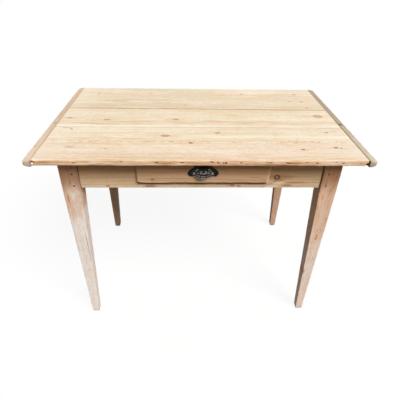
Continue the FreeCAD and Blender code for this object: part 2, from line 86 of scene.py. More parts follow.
def vectors(operation, *values):
    """A vector, or the length of one, worked out by a Vector Math node."""
    node = tree_of(values).nodes.new("ShaderNodeVectorMath")
    node.operation = operation
    for socket, value in zip(node.inputs, values):
        join(socket, value)
    return node.outputs["Value" if operation == "LENGTH" else "Vector"]


def scaled(vector, factor):
    """A vector times a number."""
    node = factor.id_data.nodes.new("ShaderNodeVectorMath")
    node.operation = "SCALE"
    join(node.inputs[0], vector)
    join(node.inputs["Scale"], factor)
    return node.outputs["Vector"]


def combined(x=None, y=None, z=None):
    """A vector from its X, Y and Z."""
    node = tree_of((x, y, z)).nodes.new("ShaderNodeCombineXYZ")
    for socket, value in zip(node.inputs, (x, y, z)):
        join(socket, value)
    return node.outputs[0]


def apart(vector):
    """The X, Y and Z of a vector."""
    node = vector.id_data.nodes.new("ShaderNodeSeparateXYZ")
    join(node.inputs[0], vector)
    return tuple(node.outputs)


def ramped(value, low, high, to_low=0.0, to_high=1.0):
    """A number eased from one range into another."""
    node = value.id_data.nodes.new("ShaderNodeMapRange")
    node.interpolation_type = "SMOOTHSTEP"
    names = ("Value", "From Min", "From Max", "To Min", "To Max")
    for name, amount in zip(names, (value, low, high, to_low, to_high)):
        join(node.inputs[name], amount)
    return node.outputs["Result"]


def clouds(position, scale, detail=2.0, roughness=0.5):
    """A soft random value at a position, with one scale for all axes or one for each."""
    if isinstance(scale, tuple):
        position, scale = vectors("MULTIPLY", position, scale), 1.0
    node = position.id_data.nodes.new("ShaderNodeTexNoise")
    names = ("Vector", "Scale", "Detail", "Roughness")
    for name, value in zip(names, (position, scale, detail, roughness)):
        join(node.inputs[name], value)
    return node.outputs["Fac"]


def blended(share, first, second, kind="MIX"):
    """Two colours laid one over the other."""
    node = tree_of((share, first, second)).nodes.new("ShaderNodeMix")
    node.data_type = "RGBA"
    node.blend_type = kind
    for place, value in ((0, share), (6, first), (7, second)):
        join(node.inputs[place], value)
    return node.outputs[2]


def new_group(name, kind, inputs, outputs):
    """An empty node group with named sockets, and its inner input and output nodes."""
    group = bpy.data.node_groups.new(name, kind)
    for label, socket in inputs.items():
        group.interface.new_socket(label, in_out="INPUT", socket_type="NodeSocket" + socket)
    for label, socket in outputs.items():
        group.interface.new_socket(label, in_out="OUTPUT", socket_type="NodeSocket" + socket)
    return group, group.nodes.new("NodeGroupInput").outputs, group.nodes.new("NodeGroupOutput").inputs


def use_group(group, **values):
    """A group placed in a material with its own values; underscores stand for spaces in socket names."""
    node = tree_of(values.values()).nodes.new("ShaderNodeGroup")
    node.node_tree = group
    for label, value in values.items():
        join(node.inputs[label.replace("_", " ")], value)
    return node.outputs


# Growth rings about a pith line that runs along X, with fibres and slow drifts of tone
pine_grain, given, gives = new_group(
    "pine_grain", "ShaderNodeTree",
    {"Position": "Vector", "Pith": "Vector", "Ring Width": "Float", "Wander": "Float", "Seed": "Float"},
    {"Ring": "Float", "Fibre": "Float", "Drift": "Float", "Fleck": "Float"},
)
shifted = vectors("ADD", given["Position"], scaled((3.1, 1.7, 2.3), given["Seed"]))
slow_push = times(minus(clouds(shifted, (1.1, 4.0, 4.0), 1.0), 0.5), given["Wander"])
small_push = times(minus(clouds(shifted, (5.0, 22.0, 22.0), 3.0), 0.5), 0.006)
pushes = combined(y=plus(slow_push, small_push), z=times(slow_push, -0.7))
from_pith = vectors("SUBTRACT", vectors("ADD", given["Position"], pushes), given["Pith"])
radius = vectors("LENGTH", vectors("MULTIPLY", from_pith, (0.0, 1.0, 1.0)))
years = sums("DIVIDE", radius, given["Ring Width"])
years = plus(years, times(clouds(scaled((1.0, 0.4, 0.2), years), 0.35, 2.0), 1.8))
years = plus(years, times(clouds(scaled((0.3, 1.0, 0.5), years), 0.11, 1.0), 6.0))
share = sums("FRACT", years)
late = times(ramped(share, 0.25, 0.88), ramped(share, 0.90, 1.0, 1.0, 0.0))
year_tone = pine_grain.nodes.new("ShaderNodeTexWhiteNoise")
year_tone.noise_dimensions = "1D"
join(year_tone.inputs["W"], sums("FLOOR", years))
join(gives["Ring"], times(late, ramped(year_tone.outputs["Value"], 0.0, 1.0, 0.25, 1.1)))
join(gives["Fibre"], clouds(shifted, (9.0, 420.0, 420.0), 3.0, 0.6))
join(gives["Drift"], clouds(shifted, (1.6, 11.0, 11.0), 2.0))
join(gives["Fleck"], ramped(clouds(shifted, (40.0, 260.0, 260.0), 1.0), 0.64, 0.78))

# One knot: it turns the grain aside, and adds its heart, dark rim and the warm wood about it to the marks
pine_knot, given, gives = new_group(
    "pine_knot", "ShaderNodeTree",
    {"Position": "Vector", "Marks": "Vector", "Centre": "Vector", "Spread": "Vector", "Cross": "Vector"},
    {"Position": "Vector", "Marks": "Vector"},
)
away = vectors("SUBTRACT", given["Position"], given["Centre"])
near = vectors("MULTIPLY", away, given["Spread"])
crooked = times(minus(clouds(given["Position"], 160.0, 2.0), 0.5), 0.7)
reach = plus(vectors("LENGTH", near), crooked)
rings = ramped(sums("SINE", times(reach, 17.0)), -1.0, 1.0, 0.62, 1.0)
heart = times(ramped(reach, 0.50, 1.0, 1.0, 0.0), rings)
rim = times(ramped(reach, 0.45, 0.90), ramped(reach, 0.95, 1.30, 1.0, 0.0))
stretch = vectors("MULTIPLY_ADD", given["Cross"], (0.75, 0.75, 0.75), (0.25, 0.25, 0.25))
tail = plus(vectors("LENGTH", vectors("MULTIPLY", near, stretch)), crooked)
halo = ramped(tail, 0.3, 2.0, 1.0, 0.0)
join(gives["Marks"], vectors("MAXIMUM", given["Marks"], combined(heart, rim, halo)))
turned_by = sums("DIVIDE", 0.85, plus(1.0, sums("POWER", reach, 2.0)))
aside = scaled(vectors("MULTIPLY", away, given["Cross"]), turned_by)
join(gives["Position"], vectors("SUBTRACT", given["Position"], aside))

# One small stain, hole or bruise with a ragged outline, added to those before it
wood_spot, given, gives = new_group(
    "wood_spot", "ShaderNodeTree",
    {"Position": "Vector", "Mark": "Float", "Centre": "Vector", "Spread": "Vector"},
    {"Mark": "Float"},
)
away = vectors("MULTIPLY", vectors("SUBTRACT", given["Position"], given["Centre"]), given["Spread"])
ragged = times(minus(clouds(given["Position"], 260.0, 3.0, 0.6), 0.5), 1.3)
reach = plus(vectors("LENGTH", away), ragged)
join(gives["Mark"], sums("MAXIMUM", given["Mark"], ramped(reach, 0.35, 1.0, 1.0, 0.0)))


def new_material(name):
    """A material, its tree and shader, and the place of the point being shaded."""
    material = bpy.data.materials.new(name)
    material.use_nodes = True
    tree = material.node_tree
    place = tree.nodes.new("ShaderNodeTexCoord").outputs["Object"]
    return material, tree, tree.nodes["Principled BSDF"], place


def stored(tree, name):
    """A value that a mesh keeps at its vertices."""
    node = tree.nodes.new("ShaderNodeAttribute")
    node.attribute_name = name
    return node.outputs["Fac"]


def feed(shader, height, strength, distance, **inputs):
    """Feeds a shader and raises its surface by a height; underscores stand for spaces in socket names."""
    for label, value in inputs.items():
        join(shader.inputs[label.replace("_", " ")], value)
    relief = height.id_data.nodes.new("ShaderNodeBump")
    for label, value in (("Strength", strength), ("Distance", distance), ("Height", height)):
        join(relief.inputs[label], value)
    join(shader.inputs["Normal"], relief.outputs[0])


GRAIN_TURNS = {"X": (0.0, 0.0, 0.0), "Y": (0.0, 0.0, -math.pi / 2), "Z": (0.0, math.pi / 2, 0.0)}


def pine(name, grain, pith, ring_width, wander, seed, pale, deep, knots=(), knot_axis="Z", contrast=0.55):
    """A pine material up to its plain wood colour, with the masks to build on."""
    material, tree, shader, place = new_material(name)
    position, marks = place, None
    for centre, along, across in knots:
        spread = [1 / (along if axis == grain else across) for axis in "XYZ"]
        spread["XYZ".index(knot_axis)] = 0.0
        cross = [float(axis not in (grain, knot_axis)) for axis in "XYZ"]
        knot = use_group(
            pine_knot, Position=position, Marks=marks, Centre=centre, Spread=spread, Cross=cross
        )
        position, marks = knot["Position"], knot["Marks"]
    turn = tree.nodes.new("ShaderNodeMapping")
    turn.inputs["Rotation"].default_value = GRAIN_TURNS[grain]
    join(turn.inputs["Vector"], position)
    wood = use_group(
        pine_grain, Position=turn.outputs[0], Pith=pith, Ring_Width=ring_width, Wander=wander, Seed=seed
    )
    fibre = times(minus(wood["Fibre"], 0.5), 0.5)
    drift = times(minus(wood["Drift"], 0.45), 0.9)
    streak = plus(times(wood["Ring"], contrast), fibre, drift)
    colour = blended(ramped(streak, -0.15, 0.95), pale, deep)
    parts = {"material": material, "tree": tree, "shader": shader, "place": place}
    parts.update(wood=wood, colour=colour)
    if marks is not None:
        parts["marks"] = apart(marks)
    return parts


def knotted(parts, colour, *tints, shares=(0.4, 0.75, 0.75)):
    """Lays the knots over a wood colour: tints for the wood about them, their hearts and their rims."""
    heart, rim, halo = parts["marks"]
    for mark, share, tint in zip((halo, heart, rim), shares, tints):
        colour = blended(times(mark, share), colour, tint)
    return colour


def spotted(parts, colour, tint, share, spots):
    """Lays spots of one tint over a colour. Each has a centre and its radii along the axes, 0 for endless."""
    place, mark = parts["place"], None
    for centre, radii in spots:
        spread = [1 / radius if radius else 0.0 for radius in radii]
        mark = use_group(wood_spot, Position=place, Mark=mark, Centre=centre, Spread=spread)["Mark"]
    return blended(times(mark, share), colour, tint) if spots else colour


def finish_pine(parts, colour, roughness, bump):
    """Feeds the shader: colour, a soft uneven sheen and the raised grain. Gives the material."""
    shader, wood = parts["shader"], parts["wood"]
    colour = blended(times(wood["Fleck"], 0.35), colour, tone(190, 156, 128), "MULTIPLY")
    sheen = ramped(wood["Fibre"], 0.25, 0.8, roughness - 0.08, roughness + 0.12)
    shader.inputs["Specular IOR Level"].default_value = 0.12
    height = plus(times(wood["Ring"], 0.5), times(wood["Fibre"], 0.6))
    feed(shader, height, bump, 0.0006, Base_Color=colour, Roughness=sheen)
    return parts["material"]


def put(name, data):
    """A new object in the scene."""
    thing = bpy.data.objects.new(name, data)
    bpy.context.scene.collection.objects.link(thing)
    return thing


def steps_along(length, low, high, count):
    """Places along one side of a block, close together at both ends, where the arrises are rounded."""
    shares = (0.0, 0.2, 0.45, 0.72, 1.0, 1.5)
    ends = [low * s for s in shares] + [length - high * s for s in shares]
    middle = np.linspace(low * 1.5, length - high * 1.5, count + 2)
    return np.unique(np.round(np.concatenate([ends, middle]), 4))


def block_faces(index):
    """The outward quads of a block's six sides, from a lattice of vertex numbers."""
    quads = []
    for axis in range(3):
        for high in (False, True):
            side = np.take(index, -1 if high else 0, axis=axis)
            a, b, c, d = side[:-1, :-1], side[1:, :-1], side[1:, 1:], side[:-1, 1:]
            around = (a, b, c, d) if (axis != 1) == high else (a, d, c, b)
            quads.append(np.stack(around, axis=-1).reshape(-1, 4))
    return np.concatenate(quads)


def ripples(points, scale, shift):
    """A smooth random value at each point."""
    return np.array([noise.noise(Vector(p * scale + shift)) for p in points])


def worn_block(name, size, steps, rounding, place, seed, uneven=0.35, dents=0.35):
    """A closed block with worn arrises. rounding gives the radii at its points, place puts it in place."""
    counts = [len(s) for s in steps]
    lattice = np.stack(np.meshgrid(*steps, indexing="ij"), axis=-1)
    outer = np.zeros(counts, bool)
    for axis in range(3):
        ends = [slice(None)] * 3
        for stop in (0, -1):
            ends[axis] = stop
            outer[tuple(ends)] = True
    index = np.full(counts, -1)
    index[outer] = np.arange(outer.sum())
    points = lattice[outer]
    sizes = np.array(size, float)
    bite = ripples(points, 0.035, seed) + 0.6 * ripples(points, 0.13, -seed)
    radii = rounding(points) * np.clip(1.0 + dents * 2.0 * bite, 0.35, 2.2)[:, None]
    radii = np.minimum(radii, sizes * 0.48)
    inner = np.clip(points, radii, sizes - radii)
    lean = (points - inner) / radii
    length = np.linalg.norm(lean, axis=1)
    arris = np.clip((length - 1.0) / 0.414, 0.0, 1.0)
    outward = lean / length[:, None]
    points = inner + outward * radii
    points = points - outward * (np.abs(ripples(points, 0.011, seed * 3.0)) * uneven)[:, None]
    mesh = bpy.data.meshes.new(name)
    mesh.from_pydata((place(points) / 1000.0).tolist(), [], block_faces(index).tolist())
    mesh.attributes.new("arris", "FLOAT", "POINT").data.foreach_set("value", arris.astype(np.float32))
    mesh.shade_smooth()
    return put(name, mesh)


def dress(piece, material, body, slot, *nodes):
    """Gives a piece its material and its body, and hides the CAD nodes that it stands for. The slot is not
    used.
    """
    piece.data.materials.clear()
    piece.data.materials.append(material)
    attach(piece, body)
    if nodes:
        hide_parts(*nodes)


LEG_SIZE = 60.0
LEG_HEIGHT = 749.0
LEG_TAPER_START = 635.0
LEG_OUTER_TAPER = 9.0
LEG_INNER_TAPER = 24.0
LEG_ARRIS = 2.6
LEG_END_ARRIS = 2.0
FOOT_BEVEL_HEIGHT = 7.0
FOOT_BEVEL_INSET = 4.0
LEG_X = 468.0
LEG_Y = {-1: -316.5, 1: 323.5}


def leg_place(side, end):
    """Tapers a leg and stands it at its corner."""

    def place(points):
        z = points[:, 2]
        taper = np.clip((LEG_TAPER_START - z) / LEG_TAPER_START, 0.0, 1.0)
        bevel = FOOT_BEVEL_INSET * np.clip(1.0 - z / FOOT_BEVEL_HEIGHT, 0.0, 1.0) ** 1.5
        outer = LEG_OUTER_TAPER * taper + bevel
        inner = LEG_INNER_TAPER * taper + bevel
        placed = points.copy()
        for axis, face, sign in ((0, side * LEG_X, side), (1, LEG_Y[end], end)):
            out, back = face - sign * outer, face - sign * (LEG_SIZE - inner)
            low, high = np.minimum(out, back), np.maximum(out, back)
            placed[:, axis] = low + points[:, axis] / LEG_SIZE * (high - low)
        return placed

    return place


def leg_rounding(points):
    return np.full(points.shape, (LEG_ARRIS, LEG_ARRIS, LEG_END_ARRIS))


def leg_material(name, pith, seed, pale, deep, wash, wash_height, streaks, side, inward_shade):
    """Stripped pine with a pale wash that fades out up the leg and is partly painted light on the front
    faces, painted shade under the top and on the faces turned in towards the table, and lighter arrises.
    """
    parts = pine(name, "Z", pith, 0.0034, 0.05, seed, pale, deep, (), "Y", 0.8)
    _, _, height = apart(parts["place"])
    shifted = vectors("ADD", parts["place"], (seed, 0.0, 0.0))
    fine = clouds(shifted, (190.0, 190.0, 34.0), 4.0, 0.65)
    patchy = clouds(shifted, (52.0, 52.0, 15.0), 4.0, 0.62)
    blotch = clouds(shifted, (24.0, 24.0, 11.0), 3.0, 0.6)
    mottle = clouds(shifted, (75.0, 75.0, 22.0), 4.0, 0.6)
    colour = blended(ramped(patchy, 0.50, 0.68, 0.0, 0.55), parts["colour"], tone(206, 152, 116))
    colour = blended(ramped(blotch, 0.55, 0.72, 0.0, 0.5), colour, tone(240, 200, 168))
    colour = blended(ramped(fine, 0.52, 0.70, 0.0, 0.45), colour, tone(176, 128, 98))
    facing_x, facing_y, _ = apart(parts["tree"].nodes.new("ShaderNodeNewGeometry").outputs["True Normal"])
    inward = times(facing_x, -side)
    # The wash is full on the front and inner faces and weaker on the others: partly the wash itself, partly
    # painted light on the front faces.
    front_and_inner_faces = sums("MAXIMUM", inward, times(facing_y, -1.0))
    level = plus(height, times(minus(blotch, 0.5), 0.7))
    washed = times(
        ramped(level, wash_height - 0.14, wash_height + 0.14, 1.0, 0.0),
        ramped(fine, 0.42, 0.70, 1.0, 0.68),
        ramped(patchy, 0.46, 0.72, 1.0, 0.76),
        ramped(front_and_inner_faces, 0.3, 0.9, wash * 0.55, wash),
    )
    colour = blended(washed, colour, tone(255, 247, 241))
    mottle = times(ramped(mottle, 0.48, 0.66, 0.0, 0.6), ramped(height, 0.15, 0.50, 0.35, 1.0))
    colour = blended(mottle, colour, tone(240, 202, 174))
    colour = spotted(parts, colour, tone(182, 126, 88), 0.75, streaks)
    rubbed = times(stored(parts["tree"], "arris"), ramped(patchy, 0.45, 0.7, 0.1, 0.6))
    colour = blended(rubbed, colour, tone(240, 218, 196))
    # Painted shade under the top: the leg darkens towards its upper end, where the top's overhang keeps the
    # light off.
    dirt_and_painted_shade = ramped(sums("MULTIPLY_ADD", patchy, 0.03, height), 0.615, 0.70, 0.0, 0.8)
    colour = blended(dirt_and_painted_shade, colour, tone(178, 153, 124), "MULTIPLY")
    # Painted shade on the faces turned in towards the table, which the light from the right and front does
    # not reach.
    colour = blended(ramped(inward, 0.3, 0.8, 0.0, inward_shade), colour, tone(178, 156, 134), "MULTIPLY")
    return finish_pine(parts, colour, 0.62, 0.35)


# Per leg: side and end, pith, seed, pale and deep tones, share and height of the wash, streaks, painted shade
# on the inner faces
LEFT_STREAKS = [((-0.4225, -0.31, 0.38), (0.0022, 0.0, 0.10)), ((-0.455, -0.31, 0.60), (0.004, 0.0, 0.03))]
RIGHT_STREAKS = [((0.425, -0.31, 0.235), (0.006, 0.0, 0.018)), ((0.440, -0.31, 0.420), (0.005, 0.0, 0.020))]
# The back legs' darker tones are partly their own colour and partly painted shade, as the top keeps the light
# off them.
leg_looks = {
    "front_left_leg": (
        -1, -1, (0.0, -0.33, -0.52), 0.3, tone(242, 210, 184), tone(212, 162, 128),
        1.0, 0.545, LEFT_STREAKS, 0.0,
    ),
    "front_right_leg": (
        1, -1, (0.0, -0.27, 0.50), 1.7, tone(242, 206, 179), tone(216, 164, 130),
        0.56, 0.42, RIGHT_STREAKS, 0.65,
    ),
    "back_left_leg": (
        -1, 1, (0.0, 0.36, -0.40), 3.1, tone(205, 166, 131), tone(160, 117, 85), 0.15, 0.15, (), 0.3
    ),
    "back_right_leg": (
        1, 1, (0.0, 0.27, 0.42), 4.9, tone(206, 165, 133), tone(171, 126, 96), 0.15, 0.20, (), 0.85
    ),
}
leg_across = steps_along(LEG_SIZE, LEG_ARRIS, LEG_ARRIS, 5)
leg_steps = (leg_across, leg_across, steps_along(LEG_HEIGHT, 2.4, LEG_END_ARRIS, 96))
for name, (side, end, pith, seed, pale, deep, wash, wash_height, streaks, inward_shade) in leg_looks.items():
    size = (LEG_SIZE, LEG_SIZE, LEG_HEIGHT)
    leg = worn_block(name + "_worn", size, leg_steps, leg_rounding, leg_place(side, end), seed)
    look = leg_material(name + "_pine", pith, seed, pale, deep, wash, wash_height, streaks, side, inward_shade)
    dress(leg, look, "table", "frame_pine", name)


# Aprons. Four pine rails tenoned into the legs, the front one cut down from its upper edge for the drawer.
# Stripped pine like the legs, with painted shade under the top, where its overhang keeps the light off.
# The right-hand end of the front rail has a large knot with a crack running down from it.
APRON_EASE = 0.0010


def merged_shape(node):
    """A CAD node's mesh with its split vertices merged."""
    shape = bmesh.new()
    shape.from_mesh(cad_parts[node].data)
    bmesh.ops.remove_doubles(shape, verts=shape.verts, dist=1e-5)
    return shape


def flatten(shape):
    """Joins the triangles of each flat face."""
    bmesh.ops.dissolve_limit(shape, angle_limit=math.radians(0.5), verts=shape.verts, edges=shape.edges)


def put_shape(name, shape):
    """An object from a worked shape, with its many-sided faces cut into triangles."""
    bmesh.ops.triangulate(shape, faces=[f for f in shape.faces if len(f.verts) > 4])
    mesh = bpy.data.meshes.new(name)
    shape.to_mesh(mesh)
    shape.free()
    return put(name, mesh)


def eased_copy(node, width):
    """A copy of a CAD node with its sharp edges eased, as a plane or sandpaper leaves them."""
    shape = merged_shape(node)
    flatten(shape)
    sharp = [e for e in shape.edges if len(e.link_faces) == 2 and e.calc_face_angle() > math.radians(30)]
    bmesh.ops.bevel(
        shape, geom=sharp, offset=width, offset_type="OFFSET", segments=2, profile=0.6, affect="EDGES",
        clamp_overlap=True,
    )
    return put_shape(node + "_eased", shape)


def apron_material(name, grain, pith, seed, front):
    """Stripped pine with painted shade towards the top; the front rail also has its knots, crack, dirty
    joints and a band of painted shadow below the drawer front.
    """
    knots, knot_axis = (FRONT_KNOTS, "Y") if front else ((), "Z")
    pale, deep = tone(227, 198, 162), tone(189, 146, 103)
    parts = pine(name, grain, pith, 0.0040, 0.05, seed, pale, deep, knots, knot_axis, 0.5)
    place = parts["place"]
    across, _, height = apart(place)
    streaks = clouds(place, (5.0, 60.0, 120.0) if grain == "X" else (60.0, 5.0, 120.0), 4.0, 0.65)
    colour = blended(ramped(streaks, 0.52, 0.72, 0.0, 0.40), parts["colour"], tone(190, 138, 90))
    blotch = clouds(place, (16.0, 16.0, 34.0), 4.0, 0.6)
    colour = blended(ramped(blotch, 0.46, 0.70, 0.0, 0.5), colour, tone(214, 178, 136))
    if front:
        worn = ramped(sums("MULTIPLY_ADD", blotch, 0.012, height), 0.650, 0.666, 0.22, 0.0)
        colour = blended(worn, colour, tone(242, 221, 192))
        for tint, share, spots in FRONT_SPOTS:
            colour = spotted(parts, colour, tint, share, spots)
        tints = (tone(188, 132, 86), tone(118, 78, 58), tone(70, 46, 38))
        colour = knotted(parts, colour, *tints, shares=(0.6, 0.85, 0.85))
        colour = spotted(parts, colour, tone(206, 198, 200), 0.70, KNOT_HEART)
        crack = minus(across, sums("MULTIPLY_ADD", height, 2.0, -1.078))
        crack = plus(crack, sums("MULTIPLY_ADD", clouds(place, 90.0, 2.0), 0.010, -0.005))
        crack = times(
            ramped(sums("ABSOLUTE", crack), 0.0008, 0.0028, 0.85, 0.0),
            ramped(across, 0.197, 0.207),
            ramped(across, 0.246, 0.262, 1.0, 0.0),
        )
        colour = blended(crack, colour, tone(96, 62, 42))
        joint = ramped(sums("ABSOLUTE", across), 0.4025, 0.4075, 0.0, 0.8)
        colour = blended(joint, colour, tone(78, 60, 46))
        # Painted shadow: a dark band on the rail just below the drawer front's lower edge, where the front
        # stands proud and keeps the light off.
        below_drawer = times(ramped(across, -0.219, -0.213), ramped(across, 0.217, 0.223, 1.0, 0.0))
        ragged = sums("MULTIPLY_ADD", clouds(place, 30.0, 2.0), 0.008, height)
        under = times(below_drawer, ramped(ragged, 0.653, 0.665, 0.0, 0.92))
        colour = blended(under, colour, tone(108, 78, 52), "MULTIPLY")
    # Painted shade towards the top of each rail, under the overhang of the top.
    dirt_and_painted_shade = ramped(height, 0.650, 0.715, 0.0, 0.6)
    colour = blended(dirt_and_painted_shade, colour, tone(178, 142, 102), "MULTIPLY")
    return finish_pine(parts, colour, 0.6, 0.3)


APRON_FACE = -0.31
FRONT_KNOTS = [((0.2545, APRON_FACE, 0.6820), 0.0098, 0.0085)]
KNOT_HEART = [((0.2545, APRON_FACE, 0.6825), (0.0042, 0.0, 0.0042))]
LOWER_STREAKS = [
    ((0.292, APRON_FACE, 0.650), (0.028, 0.0, 0.0050)), ((0.318, APRON_FACE, 0.661), (0.055, 0.0, 0.0030)),
]
SMALL_KNOTS = [
    ((-0.316, APRON_FACE, 0.648), (0.010, 0.0, 0.005)), ((-0.173, APRON_FACE, 0.647), (0.033, 0.0, 0.006)),
    ((0.105, APRON_FACE, 0.650), (0.014, 0.0, 0.007)), ((0.127, APRON_FACE, 0.648), (0.010, 0.0, 0.005)),
]
PALE_PATCHES = [
    ((0.262, APRON_FACE, 0.660), (0.030, 0.0, 0.010)), ((0.238, APRON_FACE, 0.646), (0.034, 0.0, 0.008)),
]
KNOT_STAIN = [((0.258, APRON_FACE, 0.671), (0.026, 0.0, 0.009))]
FRONT_SPOTS = [
    (tone(166, 108, 62), 0.8, LOWER_STREAKS),
    (tone(176, 108, 62), 0.75, SMALL_KNOTS),
    (tone(248, 226, 194), 0.65, PALE_PATCHES),
    (tone(146, 100, 64), 0.55, KNOT_STAIN),
]
apron_looks = {
    "front_apron": ("X", (0.0, -0.28, 0.60), 6.1),
    "back_apron": ("X", (0.0, 0.34, 0.63), 7.7),
    "left_apron": ("Y", (0.0, -0.42, 0.60), 8.9),
    "right_apron": ("Y", (0.0, 0.47, 0.61), 9.7),
}
for name, (grain, pith, seed) in apron_looks.items():
    look = apron_material(name + "_pine", grain, pith, seed, name == "front_apron")
    dress(eased_copy(name, APRON_EASE), look, "table", "frame_pine", name)


# Runners, guides and buttons. Plain battens and blocks of bare pine that carry the drawer and hold the top.
# They were never finished, so they are the rough yellow-brown of old bare wood, with patches of dust.
BATTEN_EASE = 0.0008
BUTTON_EASE = 0.0010


def bare_material(name, grain, pith, seed):
    parts = pine(name, grain, pith, 0.0036, 0.05, seed, tone(220, 190, 148), tone(184, 142, 98))
    dust = ramped(clouds(parts["place"], 14.0, 4.0, 0.6), 0.45, 0.8, 0.0, 0.35)
    return finish_pine(parts, blended(dust, parts["colour"], tone(160, 138, 112)), 0.75, 0.4)


bare_along_y = bare_material("bare_pine_lengthwise", "Y", (0.0, 0.10, 0.62), 11.3)
bare_along_x = bare_material("bare_pine_crosswise", "X", (0.0, 0.06, 0.63), 12.9)
for name in ("left_drawer_runner", "right_drawer_runner", "left_drawer_guide", "right_drawer_guide"):
    dress(eased_copy(name, BATTEN_EASE), bare_along_y, "table", "inner_pine", name)
dress(eased_copy("top_buttons", BUTTON_EASE), bare_along_x, "table", "inner_pine", "top_buttons")


# Nails and screws. Cut steel nails in the guides and the drawer bottom, and wood screws in the buttons.
# Dull old steel, brown with rust where it meets the wood.
def steel_material(name):
    material, _, shader, place = new_material(name)
    rust = ramped(clouds(place, 420.0, 4.0, 0.65), 0.42, 0.62)
    feed(
        shader, rust, 0.4, 0.0003,
        Base_Color=blended(rust, tone(132, 126, 120), tone(104, 62, 38)),
        Metallic=ramped(rust, 0.0, 1.0, 0.9, 0.1),
        Roughness=ramped(rust, 0.0, 1.0, 0.42, 0.85),
    )
    return material


old_steel = steel_material("old_steel")
for name in ("guide_nails", "top_button_screws", "drawer_bottom_nails"):
    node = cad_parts[name]
    node.data.materials.clear()
    node.data.materials.append(old_steel)


# Top. Four scrubbed pine boards, tongued together edge to edge, the back joint shrunk open.
# Pale and low in contrast from years of scrubbing, with brown knots, grey stains and warmer streaks.
# The front edge is rounded by use and darker, with old nail holes and broken corners beside the cleats.
TOP_Z = 749.0
TOP_THICKNESS = 21.0
BOARD_X = 529.0
BOARD_LENGTH = 1058.0
SEAM_ROUND = 0.8
EDGE_ROUND = 4.2
EDGE_DEPTH = 14.0


def board_width(back, front):
    return (sum(back) - sum(front)) / 2


def board_place(back, front, chips):
    """Puts a board between two seams, each given at its left and right ends, and dents its front edge."""

    def place(points):
        share = points[:, 0] / BOARD_LENGTH
        y_back = back[0] + (back[1] - back[0]) * share
        y_front = front[0] + (front[1] - front[0]) * share
        y = y_front + (y_back - y_front) * (points[:, 1] / board_width(back, front))
        placed = np.stack([points[:, 0] - BOARD_X, y, points[:, 2] + TOP_Z], axis=-1)
        front_face = np.clip(1.0 - points[:, 1] / EDGE_DEPTH, 0.0, 1.0)
        for x, z, half_length, half_height, depth in chips:
            inside = np.hypot((placed[:, 0] - x) / half_length, (placed[:, 2] - z) / half_height)
            placed[:, 1] += np.clip((1.25 - inside) / 0.5, 0.0, 1.0) * depth * front_face
        return placed

    return place


def board_rounding(front_edge, back_edge, width):
    """Radii of a board's arrises: small along the seams and the ends, larger along the table's edges."""

    def rounding(points):
        x, y = points[:, 0], points[:, 1]
        radii = np.full(len(points), SEAM_ROUND)
        for open_edge, distance in ((front_edge, y), (back_edge, width - y)):
            if open_edge:
                radii += (EDGE_ROUND - SEAM_ROUND) * np.exp(-((distance / EDGE_DEPTH) ** 2))
        radii = np.where((x < 1.5) | (x > BOARD_LENGTH - 1.5), SEAM_ROUND, radii)
        return np.repeat(radii[:, None], 3, axis=1)

    return rounding


def seam_mark(place, seam, solid, fade):
    """1 on a seam, given in mm at the board's left and right ends, falling to 0 at a distance from it."""
    x, y, _ = apart(place)
    line = sums("MULTIPLY_ADD", x, (seam[1] - seam[0]) / BOARD_LENGTH, (seam[0] + seam[1]) / 2000.0)
    wobble = sums("MULTIPLY_ADD", clouds(place, (60.0, 0.0, 0.0), 3.0), 0.002, -0.001)
    return ramped(sums("ABSOLUTE", plus(minus(y, line), wobble)), solid, fade, 1.0, 0.0)


# Zones of tone, mottling and flecks of a scrubbed board: stretch, detail, from and to, share, tint
BOARD_LAYERS = (
    ((2.2, 7.0, 0.0), 3.0, 0.46, 0.72, 0.75, tone(222, 207, 172)),
    ((2.9, 6.0, 5.0), 3.0, 0.50, 0.72, 0.70, tone(240, 222, 204)),
    ((9.0, 50.0, 0.0), 4.0, 0.48, 0.70, 0.50, tone(222, 192, 154)),
    ((4.0, 30.0, 9.0), 4.0, 0.54, 0.72, 0.50, tone(248, 238, 220)),
    ((38.0, 70.0, 0.0), 4.0, 0.52, 0.70, 0.50, tone(212, 188, 152)),
    ((46.0, 80.0, 7.0), 4.0, 0.54, 0.72, 0.40, tone(248, 240, 224)),
    ((130.0, 260.0, 0.0), 3.0, 0.54, 0.72, 0.50, tone(200, 172, 136)),
)


